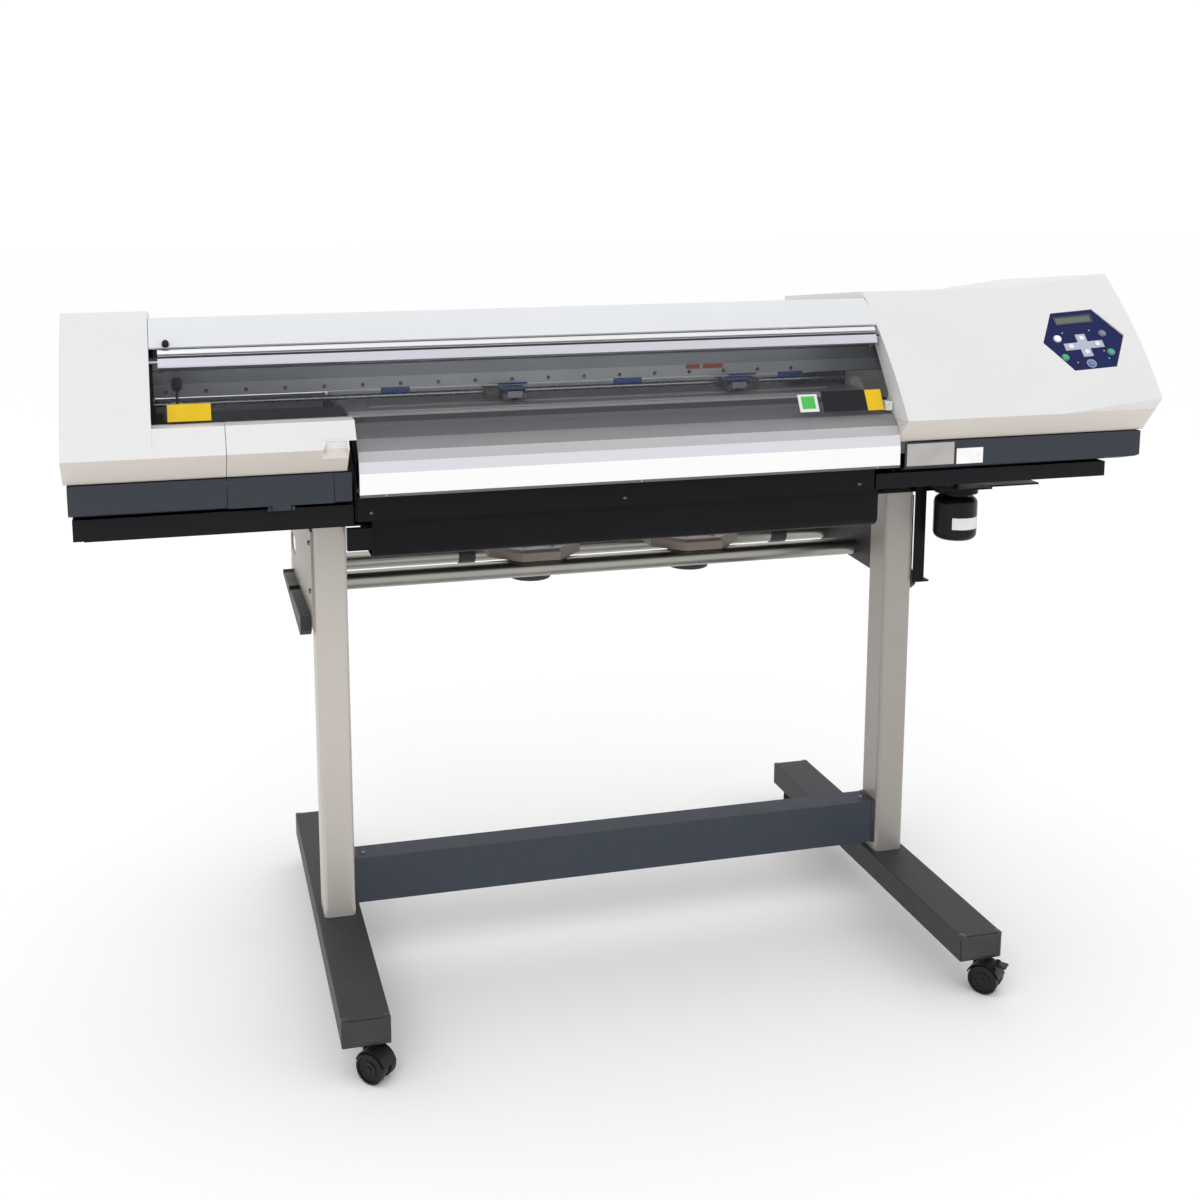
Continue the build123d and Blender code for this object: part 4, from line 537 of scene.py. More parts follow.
def span(node):
    """The low and high corners of a CAD node."""
    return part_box(node)


def centre_of(node):
    """The middle of a CAD node."""
    low, high = span(node)
    return (low + high) / 2


def panel_place():
    """Place of the key panel: right, up and out, with the centre of its face."""
    press = Vector(JOINTS["up_key_press"]["axis"])
    out = (-press).normalized()
    up = Vector((0.0, out.z, -out.y)).normalized()
    right = up.cross(out).normalized()
    points = [vertex.co for vertex in frame["nodes"]["panel_fascia"].data.vertices]
    middle = []
    for axis in (right, up):
        reach = [point.dot(axis) for point in points]
        middle.append((min(reach) + max(reach)) / 2)
    face = max(point.dot(out) for point in points)
    centre = right * middle[0] + up * middle[1] + out * face
    place = Matrix((right, up, out)).transposed().to_4x4()
    place.translation = centre
    return place


def window_place():
    """Place of the window: along the machine, up the slope and out, at the top left of its face."""
    points = [vertex.co for vertex in frame["nodes"]["window"].data.vertices]
    top = max(point.z for point in points)
    foot = min(point.z for point in points)
    high = min((point.y for point in points if point.z > top - 0.0005))
    low = min((point.y for point in points if point.z < foot + 0.0005))
    up = Vector((0.0, high - low, top - foot)).normalized()
    right = Vector((1.0, 0.0, 0.0))
    out = right.cross(up).normalized()
    place = Matrix((right, up, out)).transposed().to_4x4()
    place.translation = Vector((min(point.x for point in points), high, top))
    return place


# ------------------------------------------------------------------ finishes of the CAD nodes
COVER_CREASE = 0.0385       # rise of the covers' lower crease above their foot; below it the covers carry painted shade
# shares of the cover colour that make the painted shade of the covers' downward-facing underside strip
UNDERSIDE_PAINTED_SHADE = (0.885, 0.81, 0.715)
RIGHT_POST_SHADE = 0.66
# the handle's bands, as drops down its slope: painted highlight on the upper lip, painted shade in the
# groove, lilac painted reflection below
GROOVE_TOP, GROOVE_FOOT, LOWER_BAND = 0.0088, 0.0133, 0.011
# the apron's bands of painted reflection and painted shade: height above its foot, and colour above that
# height
# painted highlight along the apron's front edge, below the first band
APRON_EDGE_HIGHLIGHT = (0.86, 0.86, 0.86)
APRON_REFLECTION_SHADE_BANDS = (
    (0.0305, (0.62, 0.62, 0.67)),
    (0.0470, (0.42, 0.42, 0.435)),
    (0.0612, (0.22, 0.22, 0.228)),
    (0.0775, (0.20, 0.205, 0.215)),
    (0.0905, (0.085, 0.088, 0.094)),
    (0.0966, (0.56, 0.55, 0.52)),
)
SHAFT_COLOUR = (0.36, 0.35, 0.32)
BRASS = (0.62, 0.44, 0.16)
STOPPER_REACH = 0.0166      # past this radius the rear shaft is a stopper
HUB_DROP = 0.0215           # below this drop a flange is its hub
HANGER_SKIN, HANGER_REAR, HANGER_BAR = 0.0042, 0.0125, 0.04
KNOB_REACH = 0.066          # past this radius the lever is its knob
RAIL_BAND = 0.019           # height of the rail's lighter foot
HOLE_PITCH_X, HOLE_PITCH_Y, HOLE_RADIUS = 0.024, 0.018, 0.0011


class CUTTER_OT_finishes(bpy.types.Operator):
    """Give every CAD node its finish"""

    bl_idname = "cutter.finishes"
    bl_label = "Finishes of the frame"

    def execute(self, context):
        tint = colours()
        self.dress_covers(tint)
        self.dress_stand(tint)
        self.dress_roll_gear()
        self.dress_inside()
        self.dress_keys(tint)
        return {"FINISHED"}

    def dress_covers(self, tint):
        black = tuple(tint.chassis)
        crease = span("left_cover")[0].z + COVER_CREASE
        # painted shade for the covers' underside strip below the crease
        underside_painted_shade = tuple(channel * share for channel, share in zip(tint.cover, UNDERSIDE_PAINTED_SHADE))
        dress(moulded("cover plastic", tuple(tint.cover), low=(crease, underside_painted_shade)),
              "left_cover", "front_left_cover", "right_cover")
        dress(coated("top cover paint", tuple(tint.crown), roughness=0.34, grain=0.0008, variation=0.03),
              "top_cover")
        dress(moulded("rear cover plastic", shade(tint.cover, 0.93), roughness=0.45), "rear_cover")
        dress(moulded("slate plastic", tuple(tint.slate), roughness=0.42, variation=0.08, coat=0.0,
                      gleam=0.3), "lower_panels", "cartridge_door")
        dress(moulded("tray plastic", black, roughness=0.5, variation=0.15, coat=0.0, gleam=0.15),
              "drip_trays")
        dress(coated("black coat", black, roughness=0.42, variation=0.15, gleam=0.10),
              "chassis", "front_beam", "lower_front_panel", "bottle_bracket")
        dress(smoked_sheet("window sheet", tuple(tint.window), sizes().window_alpha), "window")
        dress(self.handle_finish(), "handle_bar")
        dress(self.apron_finish(), "apron")

    def dress_stand(self, tint):
        post = dict(roughness=0.38, metallic=0.35, variation=0.04)
        dress(coated("post paint", tuple(tint.post), **post), "left_post")
        dress(coated("post paint in shade", shade(tint.post, RIGHT_POST_SHADE), **post), "right_post")
        dress(coated("foot paint", tuple(tint.foot), roughness=0.5, variation=0.12, wear=0.05, gleam=0.2),
              "left_foot", "right_foot")
        dress(coated("beam paint", tuple(tint.beam), roughness=0.46, variation=0.06, wear=0.03, gleam=0.2),
              "cross_beam")
        dress(moulded("caster plastic", (0.009, 0.009, 0.010), roughness=0.35, coat=0.0, gleam=0.25),
              *[f"{caster}_caster_hood" for caster in CASTERS], "front_right_caster_brake")

    def dress_keys(self, tint):
        dress(printed_film("panel film", tuple(tint.panel)), "panel_fascia")
        for name, colour, nodes in (
                ("arrow keys", (0.74, 0.76, 0.82), ARROW_KEYS),
                ("menu key", (0.16, 0.18, 0.24), ("menu_button",)),
                ("white key", (0.82, 0.82, 0.84), ("function_button",)),
                ("green keys", (0.03, 0.36, 0.17), ("enter_button", "pause_button")),
                ("power key", (0.10, 0.20, 0.45), ("power_button",))):
            dress(moulded(name, colour, coat=0.3), *nodes)
        dress(moulded("socket plastic", (0.012, 0.012, 0.013), roughness=0.45), "power_inlet", "power_switch")

    def handle_finish(self):
        """Satin aluminium with a painted highlight on the upper lip, painted shade in the groove and a lilac
        painted reflection on the lower band.
        """
        finish = Finish("handle aluminium", Metallic=0.85)
        place = window_place()
        up = place.to_3x3().col[1]
        _, y, z = finish.axes(finish.place(tuple(place.translation)))
        drop = (y * up.y + z * up.z) * -1.0
        lines = finish.noise(finish.place(scale=(HAIR_RUN, HAIR, HAIR)), 1.0, 3.0, 0.65)
        # painted shade along the groove
        groove_painted_shade = (drop > GROOVE_TOP) * (drop < GROOVE_FOOT)
        # painted highlight on the upper lip and lilac painted reflection on the lower band
        body = finish.mix(drop > LOWER_BAND, (0.86, 0.86, 0.88), (0.62, 0.61, 0.68))
        streaked = finish.mix(lines * 0.3, body, (0.50, 0.50, 0.53))
        finish.set("Base Color", finish.mix(groove_painted_shade, streaked, (0.045, 0.045, 0.05)))
        finish.set("Roughness", 0.24 + lines * 0.12)
        finish.bump(lines, 0.1, 0.00006)
        return finish.material

    def apron_finish(self):
        """Grey paint with painted reflections and painted shade that lighten facet by facet towards the front
        edge, with a pale rear edge.
        """
        finish = Finish("apron paint with painted reflections", Specular_IOR_Level=0.35)
        at = finish.place()
        _, _, z = finish.axes(at)
        foot = span("apron")[0].z
        dust = finish.noise(at, DUST, 4.0, 0.6)
        body = APRON_EDGE_HIGHLIGHT
        # painted reflections and painted shade, band by band up the apron
        for height, colour in APRON_REFLECTION_SHADE_BANDS:
            body = finish.mix(z > foot + height, body, colour)
        finish.set("Base Color", finish.mix(dust * 0.06, body, (0.35, 0.35, 0.36)))
        finish.set("Roughness", 0.34 + dust * 0.1)
        finish.bump(finish.noise(at, 600.0), 0.12, 0.00015)
        return finish.material

    def dress_roll_gear(self):
        skin = span("left_post")[0].x - HANGER_SKIN
        rear = span("roll_hangers")[1].y - HANGER_REAR
        bar = span("roll_hangers")[0].z + HANGER_BAR
        _, shaft_y, shaft_z = JOINTS["rear_shaft_turn"]["pos_m"]
        hub = span("left_media_flange")[1].z - HUB_DROP
        # black on the left hanger's outer skin, on the whole right hanger and on the rear part below the bar;
        # tan elsewhere
        dress(two_tone("hanger tan and black", lambda x, y, z: (x < skin) + (x > 0.0) + (y > rear) * (z < bar),
                       (0.33, 0.29, 0.25), (0.014, 0.013, 0.013)), "roll_hangers")
        dress(drawn_metal("shaft steel", SHAFT_COLOUR, roughness=0.30), "front_shaft")
        # the roller's pale colour is a painted highlight along its top
        dress(drawn_metal("roller steel with painted highlight", (0.86, 0.86, 0.84), roughness=0.34, metallic=0.4), "grit_roller")
        dress(two_tone("rear shaft",
                       lambda x, y, z: (y - shaft_y) ** 2.0 + (z - shaft_z) ** 2.0 > STOPPER_REACH ** 2,
                       SHAFT_COLOUR, (0.015, 0.015, 0.016), roughness=(0.3, 0.5), metallic=(1.0, 0.0)),
              "rear_shaft")
        dress(two_tone("flange plastic", lambda x, y, z: z < hub, (0.22, 0.185, 0.155), (0.018, 0.018, 0.02)),
              "left_media_flange", "right_media_flange")
        dress(moulded("bottle plastic", (0.005, 0.005, 0.0055), roughness=0.25, coat=0.0, gleam=0.2),
              "drain_bottle")

    def dress_inside(self):
        band = span("guide_rail")[0].z + RAIL_BAND
        _, lever_y, lever_z = JOINTS["loading_lever_turn"]["pos_m"]
        half_x, half_y = HOLE_PITCH_X / 2, HOLE_PITCH_Y / 2

        def hole_painted_shade(x, y, z):
            """Painted shade of the bed's small holes, in rows."""
            column = abs((x % HOLE_PITCH_X) - half_x) < HOLE_RADIUS
            return column * (abs((y % HOLE_PITCH_Y) - half_y) < HOLE_RADIUS)

        dress(two_tone("rail anodising", lambda x, y, z: z < band, (0.34, 0.36, 0.38), (0.52, 0.54, 0.56),
                       roughness=(0.34, 0.42), metallic=(0.3, 0.3)), "guide_rail")
        # dark dots of painted shade where the bed's holes are
        dress(two_tone("bed plate", hole_painted_shade, (0.30, 0.31, 0.33), (0.02, 0.02, 0.02),
                       roughness=(0.38, 0.8), metallic=(0.2, 0.0)), "platen")
        dress(two_tone("lever finish",
                       lambda x, y, z: (y - lever_y) ** 2.0 + (z - lever_z) ** 2.0 > KNOB_REACH ** 2,
                       (0.55, 0.55, 0.56), (0.012, 0.012, 0.013), roughness=(0.28, 0.4), metallic=(1.0, 0.0)),
              "loading_lever")
        dress(moulded("carriage plastic", (0.075, 0.08, 0.09), roughness=0.45), "head_carriage")
        dress(drawn_metal("blade steel", (0.60, 0.60, 0.60), along=2), "blade_holder")
        dress(coated("pinch zinc", (0.11, 0.11, 0.115), roughness=0.38, metallic=0.6),
              "left_pinch_arm", "right_pinch_arm")
        dress(rubbery("pinch rubber", (0.02, 0.02, 0.021)), "left_pinch_wheel", "right_pinch_wheel")
        dress(drawn_metal("pinion brass", BRASS), "feed_pinion")
        dress(coated("module cases", (0.20, 0.21, 0.22), roughness=0.4, metallic=0.5), "inner_modules")


# ------------------------------------------------------------------ screws
SCREW_GAP = 0.0125          # screws stand further apart than this


def islands(node, reach):
    """Boxes of a CAD node's separate solids."""
    groups = []
    for vertex in frame["nodes"][node].data.vertices:
        for group in groups:
            if (group[0] - vertex.co).length < reach:
                group[1] = Vector(map(min, group[1], vertex.co))
                group[2] = Vector(map(max, group[2], vertex.co))
                break
        else:
            groups.append([vertex.co.copy(), vertex.co.copy(), vertex.co.copy()])
    return [(low, high) for _, low, high in groups]


def screw_head():
    """Domed head with a socket, one unit in radius and in height."""
    piece = start_disc(Z / 2, Z, 1.0, 1.0, sides=24)
    pick_faces(piece, facing(Z))
    narrow(0.62)
    inset(0.16)
    push(z=-0.6)
    narrow(0.9)
    pick_faces(piece, facing(-Z))
    inset(0.1)
    return piece


class CUTTER_OT_screws(bpy.types.Operator):
    """Model the button-head screws in place of their plain CAD discs"""

    bl_idname = "cutter.screws"
    bl_label = "Screws"

    def execute(self, context):
        places = []
        for low, high in islands("machine_screws", SCREW_GAP):
            size = high - low
            middle = (low + high) / 2
            thin = min(range(3), key=lambda axis: size[axis])
            out = (-X if middle.x < 0 else X, -Y, Z)[thin]
            radius = max(size) / 2
            places.append(turned_to(middle - out * size[thin] / 2, out, (radius, radius, size[thin])))
        head = screw_head()
        steel = drawn_metal("screw steel", (0.16, 0.16, 0.165), roughness=0.3)
        screws = settle(copies(head, places), "button_head_screws", "machine", steel)
        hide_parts("machine_screws")
        discard(head)
        return {"FINISHED"}


# ------------------------------------------------------------------ apron rim, black strips behind the seams as painted shade, panel labels
RIM_DEPTH, RIM_HEIGHT, RIM_TUCK = 0.0075, 0.0042, 0.0002
RIM_LIP = 0.0004            # how far the rim's face stands out from its edge
RIVET_RADIUS, RIVET_RISE, RIVET_DROP = 0.0018, 0.0008, 0.0022
RIVET_SHARES = (0.045, 0.5, 0.955)
LINER_OVERLAP = 0.006
LINER_FRONT, LINER_REAR = 0.0032, 0.0046        # behind the panels' face
# blank labels of the right lower panel: place right of the apron and below the panel's top, width, height
PANEL_LABELS = (
    ("grey_blank_label", 0.0190, 0.0380, 0.0820, 0.0355, (0.42, 0.40, 0.385)),
    ("white_blank_label", 0.1055, 0.0385, 0.0465, 0.0250, (0.84, 0.84, 0.83)),
)


class CUTTER_OT_trims(bpy.types.Operator):
    """Model the apron's riveted rim, the black liners behind the seams that stand in as painted shade, and
    the panel's blank labels
    """

    bl_idname = "cutter.trims"
    bl_label = "Trims, liners and labels"

    def execute(self, context):
        self.rim()
        self.liners()
        self.panel_labels()
        return {"FINISHED"}

    def rim(self):
        low, high = span("apron")
        edge = plate((low.x, low.y + RIM_TUCK, low.z - RIM_HEIGHT),
                     (high.x, low.y + RIM_DEPTH, low.z - RIM_TUCK), -Y, 0.0005)
        push(y=RIM_LIP)
        settle(soften(edge, 0.0005), "apron_rim", "machine",
               coated("rim paint", (0.12, 0.12, 0.125), roughness=0.35, metallic=0.3))
        head = screw_head()
        size = (RIVET_RADIUS, RIVET_RADIUS, RIVET_RISE)
        places = [turned_to((low.x + (high.x - low.x) * share, low.y + RIM_LIP, low.z - RIVET_DROP), -Y, size)
                  for share in RIVET_SHARES]
        settle(copies(head, places), "apron_rivets", "machine",
               drawn_metal("rivet steel", (0.40, 0.40, 0.41)))
        discard(head)

    def liners(self):
        panel_low, panel_high = span("lower_panels")
        bed = span("apron")
        strips = []
        for left, right in ((span("left_cover")[0].x + 0.012, bed[0].x - 0.016),
                            (bed[1].x + 0.022, panel_high.x - 0.008)):
            strip = start_block((left, panel_low.y + LINER_FRONT, panel_high.z - LINER_OVERLAP),
                                (right, panel_low.y + LINER_REAR, panel_high.z + LINER_OVERLAP))
            pick_faces(strip, facing(Z))
            push(z=0.002)
            strips.append(soften(strip, 0.0004))
        # black strips behind the seams: painted shade where the gaps would let light through
        settle(gather(strips), "seam_painted_shade_liners", "machine",
               rubbery("black liner as painted shade", (0.01, 0.01, 0.01)))

    def panel_labels(self):
        low, high = span("lower_panels")
        face = low.y - 0.00005
        for name, left, drop, wide, tall, colour in PANEL_LABELS:
            left, foot = span("apron")[1].x + left, high.z - drop
            label = plate((left, face - 0.0002, foot), (left + wide, face, foot + tall), -Y, 0.0010, 0.00005)
            settle(label, name, "machine", printed_film(f"{name} foil", colour, 0.35))


# ------------------------------------------------------------------ key panel
# places on the key panel: right and up from its middle
DISPLAY = Vector((-0.0025, 0.0405, 0.0))
BEZEL_HALF, LENS_HALF = Vector((0.033, 0.0085, 0.0)), Vector((0.0303, 0.0058, 0.0))
CROSS = Vector((-0.0023, -0.0107, 0.0))
CROSS_REACH = (0.0335, 0.0220)
CROSS_ARM = (0.0085, 0.0068)
KEY_RINGS = (("power_button", 0.0035), ("function_button", 0.0012), ("menu_button", 0.0015),
             ("enter_button", 0.0013), ("pause_button", 0.0013))
GREEN_LAMPS = ((-0.030, 0.017), (0.017, 0.017), (0.030, -0.040))
AMBER_LAMPS = ((0.027, -0.025), (-0.025, -0.042))
CELL_PITCH, CELL_HALF = 0.0031, 0.00135


class CUTTER_OT_key_panel(bpy.types.Operator):
    """Model the display, key cross, lamps and rings of the key panel"""

    bl_idname = "cutter.key_panel"
    bl_label = "Key panel"

    def execute(self, context):
        place = panel_place()
        self.display(place)
        self.cross(place)
        self.rings(place)
        self.lamps(place)
        return {"FINISHED"}

    def display(self, place):
        bezel = plate(DISPLAY - BEZEL_HALF - Z * 0.0002, DISPLAY + BEZEL_HALF + Z * 0.0009, Z, 0.0028)
        push(z=-0.0008)
        soften(bezel, 0.0003)
        settle(stand_on(bezel, place), "display_bezel", "machine",
               moulded("bezel plastic", (0.02, 0.025, 0.05), roughness=0.3))
        lens = plate(DISPLAY - LENS_HALF - Z * 0.0006, DISPLAY + LENS_HALF + Z * 0.0004, Z, 0.0006)
        soften(lens, 0.0002)
        settle(stand_on(lens, place), "display_lens", "machine", self.lens_material(place))

    def lens_material(self, place):
        """Grey-green display glass with the faint columns of its cells."""
        finish = Finish("display glass", Coat_Weight=0.8, Coat_Roughness=0.06)
        at = finish.place(tuple(place.translation))
        x, _, _ = finish.axes(at)
        cells = abs((x % CELL_PITCH) - CELL_PITCH / 2) < CELL_HALF
        glow = finish.noise(at, 40.0)
        plain = finish.mix(glow, (0.06, 0.075, 0.06), (0.10, 0.12, 0.09))
        finish.set("Base Color", finish.mix(cells * 0.35, plain, (0.045, 0.055, 0.05)))
        finish.set("Roughness", 0.14 + glow * 0.06)
        return finish.material

    def cross(self, place):
        """Pale raised cross round the four arrow keys."""
        wide, high = CROSS_ARM
        piece = start_block(CROSS - Vector((wide, high, 0.0004)), CROSS + Vector((wide, high, 0.0007)))
        for axis, reach in ((X, CROSS_REACH[0] - wide), (-X, CROSS_REACH[0] - wide),
                            (Y, CROSS_REACH[1] - high), (-Y, CROSS_REACH[1] - high)):
            pick_faces(piece, lambda spot, normal: normal.dot(axis) > 0.9
                       and (spot - CROSS).length < wide * 1.1)
            push(*(axis * reach))
        soften(piece, 0.0005, 2, 60.0)
        paint = moulded("cross plastic", (0.40, 0.43, 0.52), roughness=0.35, grain=0.0003)
        settle(stand_on(piece, place), "key_cross", "machine", paint)

    def rings(self, place):
        rings = []
        for node, extra in KEY_RINGS:
            local = place.inverted() @ centre_of(node)
            across = [(place.inverted() @ vertex.co).x for vertex in frame["nodes"][node].data.vertices]
            radius = (max(across) - min(across)) / 2 + extra
            ring = start_disc((local.x, local.y, 0.0002), Z, radius, 0.0012, sides=40)
            bore(ring, Z, extra - 0.0004)
            rings.append(stand_on(soften(ring, 0.0003), place))
        paint = moulded("ring plastic", (0.24, 0.27, 0.36), roughness=0.3, grain=0.0003)
        settle(gather(rings), "key_rings", "machine", paint)

    def lamps(self, place):
        lamp = start_disc((0, 0, 0.0001), Z, 0.0014, 0.0012, sides=20)
        pick_faces(lamp, facing(Z))
        narrow(0.7)
        soften(lamp, 0.0002)
        for name, spots, colour, strength in (("green", GREEN_LAMPS, (0.08, 0.62, 0.28), 0.6),
                                              ("amber", AMBER_LAMPS, (0.75, 0.42, 0.10), 0.3)):
            places = [place @ Matrix.Translation((x, y, 0.0)) for x, y in spots]
            settle(copies(lamp, places), f"{name}_lamps", "machine",
                   glowing(f"{name} lamp", colour, strength))
        discard(lamp)


# ------------------------------------------------------------------ rail and bed fittings
RAIL_FACE = 0.008           # depth of the rail's lower face behind its front
LIP_MARGIN, LIP_DEPTH, LIP_DROP = 0.002, 0.004, 0.0016
# blue pads: left end, right end and drop below the rail
BLUE_PADS = ((-0.378, -0.332, 0.008), (-0.190, -0.141, 0.002), (0.003, 0.052, 0.008),
             (0.203, 0.252, 0.002), (0.290, 0.335, 0.008))
RED_CLIPS = ((0.128, 0.152), (0.158, 0.192))
RED_CLIP_FOOT, RED_CLIP_TOP = 0.012, 0.019
BELT_WALL, BELT_LIFT = 0.0012, 0.0022
BELT_FRONT, BELT_REAR = 0.018, 0.038
BELT_LEFT, BELT_RIGHT = 0.03, 0.09      # pulleys' places in from the rail's ends
STRIP_MARGIN, STRIP_HALF = 0.004, 0.0035


class CUTTER_OT_rail_fittings(bpy.types.Operator):
    """Model the rail's lip, index pads, belt, pulleys and the cutting strip"""

    bl_idname = "cutter.rail_fittings"
    bl_label = "Rail fittings"

    def execute(self, context):
        low, high = span("guide_rail")
        face = low.y + RAIL_FACE
        lip = plate((low.x + LIP_MARGIN, face - 0.0001, low.z - LIP_DROP),
                    (high.x - LIP_MARGIN, face + LIP_DEPTH, low.z + 0.0002), -Y, 0.0004, -0.0003)
        settle(soften(lip, 0.0003), "rail_lip", "machine",
               drawn_metal("lip aluminium", (0.78, 0.78, 0.80), roughness=0.22))
        self.pads(low, face)
        self.belt(low, high)
        self.cutting_strip()
        return {"FINISHED"}

    def pads(self, low, face):
        blue = [soften(plate((left, face - 0.0002, low.z - drop), (right, face + 0.0010, low.z + 0.0015),
                             -Y, 0.0008, 0.0002), 0.0004) for left, right, drop in BLUE_PADS]
        settle(gather(blue), "blue_index_pads", "machine",
               moulded("pad plastic", tuple(colours().blue), roughness=0.35))
        red = [soften(plate((left, face - 0.0014, low.z + RED_CLIP_FOOT),
                            (right, face + 0.0002, low.z + RED_CLIP_TOP), -Y, 0.0009, 0.0003), 0.0004)
               for left, right in RED_CLIPS]
        settle(gather(red), "red_cable_clips", "machine",
               moulded("clip plastic", (0.55, 0.075, 0.02), roughness=0.35))

    def belt(self, low, high):
        height = sizes().belt_height
        level = high.z + BELT_LIFT + height / 2
        left, right = low.x + BELT_LEFT, high.x - BELT_RIGHT
        front, rear = low.y + BELT_FRONT, low.y + BELT_REAR
        middle, radius = (front + rear) / 2, (rear - front) / 2
        pulley = start_disc((0, 0, 0), Z, radius - 0.0009, height + 0.002, sides=40)
        for axis in (Z, -Z):
            pick_faces(pulley, facing(axis))
            push(*(axis * 0.0001))
            narrow(1.16)
            push(*(axis * 0.0007))
            inset(0.003, -0.0004)
        pair = copies(pulley, [Matrix.Translation((x, middle, level)) for x in (left, right)])
        settle(pair, "belt_pulleys", "machine",
               drawn_metal("pulley aluminium", (0.66, 0.66, 0.68), along=2))
        discard(pulley)
        belt = start_disc((left, middle, level), Z, radius, height, sides=40)
        take(belt)
        bpy.context.tool_settings.mesh_select_mode = (True, False, False)
        for vertex in belt.data.vertices:
            vertex.select = vertex.co.x > left + 1e-5
        bpy.ops.object.mode_set(mode="EDIT")
        bpy.ops.transform.translate(value=(right - left, 0, 0))
        pick_faces(belt, lambda centre, normal: abs(normal.z) > 0.9)
        bpy.ops.mesh.delete(type="FACE")
        thicken(belt, BELT_WALL)
        settle(belt, "carriage_belt", "machine",
               rubbery("belt rubber", (0.018, 0.018, 0.019)))

    def cutting_strip(self):
        low, high = span("platen")
        blade = centre_of("blade_holder").y
        strip = plate((low.x + STRIP_MARGIN, blade - STRIP_HALF, high.z - 0.0012),
                      (high.x - STRIP_MARGIN, blade + STRIP_HALF, high.z + 0.0003), Z, 0.0005, -0.0001)
        settle(soften(strip, 0.0002), "cutting_strip", "machine",
               moulded("strip nylon", (0.82, 0.82, 0.80), roughness=0.4))


# ------------------------------------------------------------------ pinch assemblies
CAP_HALF, PLATE_HALF = 0.019, 0.012
BUSH_RADIUS, BUSH_LENGTH, BUSH_WALL = 0.0066, 0.0044, 0.0024


class CUTTER_OT_pinch_fittings(bpy.types.Operator):
    """Model the caps, bushes and plates of the two pinch assemblies"""

    bl_idname = "cutter.pinch_fittings"
    bl_label = "Pinch fittings"

    def execute(self, context):
        blue = moulded("cap plastic", tuple(colours().blue), roughness=0.32)
        brass = drawn_metal("bush brass", BRASS)
        zinc = coated("bracket zinc", (0.28, 0.28, 0.29), roughness=0.35, metallic=0.7)
        for side in ("left", "right"):
            body = f"{side}_pinch_arm"
            low, high = span(body)
            middle = centre_of(f"{side}_pinch_wheel").x
            cap = plate((middle - CAP_HALF, low.y + 0.0085, high.z - 0.0006),
                        (middle + CAP_HALF, low.y + 0.030, high.z + 0.0042), Z, 0.003)
            push(z=-0.0014)
            settle(soften(cap, 0.0008), f"{side}_pinch_cap", body, blue)
            _, pivot_y, pivot_z = JOINTS[f"{body}_lift"]["pos_m"]
            bushes = []
            for x in (low.x + 0.0015, high.x - 0.0015):
                bush = start_disc((x, pivot_y, pivot_z), X, BUSH_RADIUS, BUSH_LENGTH, sides=32)
                bushes.append(soften(bore(bush, X, BUSH_WALL), 0.0003))
            settle(gather(bushes), f"{side}_pinch_bushes", body, brass)
            front = plate((middle - PLATE_HALF, low.y - 0.0009, low.z + 0.004),
                          (middle + PLATE_HALF, low.y + 0.0004, high.z - 0.002), -Y, 0.0025, -0.0003)
            settle(soften(front, 0.0002), f"{side}_pinch_plate", body, zinc)
        return {"FINISHED"}


# ------------------------------------------------------------------ window fittings
YELLOW = (0.90, 0.56, 0.008)
NOTICE_SKIN = 0.00022
# blank notices: place right of the window's left or right end and up from its top, width, height and lift
LEFT_NOTICES = (("left_yellow_notice", 0.0040, -0.1065, 0.0605, 0.0260, 0.00005, YELLOW),)
RIGHT_NOTICES = (
    ("right_yellow_notice", -0.0300, -0.1380, 0.0270, 0.0345, 0.00005, YELLOW),
    ("black_notice", -0.1045, -0.1375, 0.0735, 0.0345, 0.00005, (0.006, 0.006, 0.007)),
    ("white_tag", -0.1440, -0.1360, 0.0320, 0.0290, 0.00005, (0.86, 0.86, 0.86)),
    ("green_tag", -0.1390, -0.1310, 0.0220, 0.0205, 0.00032, (0.08, 0.56, 0.10)),
)
STOP_AXIS = Vector((0, -0.6, 0.8))
STOP_PLACE = Vector((0.0235, 0.0015, 0.0905))


class CUTTER_OT_window_fittings(bpy.types.Operator):
    """Model the window's blank notices, its catch and the top cover's rubber stop"""

    bl_idname = "cutter.window_fittings"
    bl_label = "Window fittings"

    def execute(self, context):
        foot, end = span("window")
        self.notices(0.0, LEFT_NOTICES)
        self.notices(end.x - foot.x, RIGHT_NOTICES)
        catch = plate((end.x + 0.001, foot.y + 0.010, foot.z + 0.004),
                      (end.x + 0.0135, foot.y + 0.030, foot.z + 0.018), -Y, 0.003)
        push(y=0.004)
        settle(soften(catch, 0.0012), "window_catch", "machine",
               moulded("catch plastic", (0.75, 0.74, 0.72)))
        stop = start_disc(span("top_cover")[0] + STOP_PLACE, STOP_AXIS, 0.0050, 0.0060, sides=28)
        pick_faces(stop, facing(STOP_AXIS, 0.9))
        push(*(STOP_AXIS * 0.0035))
        narrow(0.45, 0.45)
        settle(soften(stop, 0.0009, 3, 20.0), "rubber_stop", "machine",
               rubbery("stop rubber", (0.015, 0.015, 0.016)))
        return {"FINISHED"}

    def notices(self, start, rows):
        for name, x, y, wide, high, lift, colour in rows:
            patch = plate((start + x, y, lift), (start + x + wide, y + high, lift + NOTICE_SKIN), Z, 0.0012)
            settle(stand_on(patch, window_place()), name, "front_window",
                   printed_film(f"{name} print", colour, 0.35))


# ------------------------------------------------------------------ stand fittings
CAP_SKIN, CAP_MARGIN = 0.0016, 0.0015
TAB_HALF, TAB_REACH, TAB_IN, TAB_HEIGHT = 0.0045, 0.009, 0.005, 0.006
END_PLATE, END_PLATE_LIP = 0.006, 0.0012


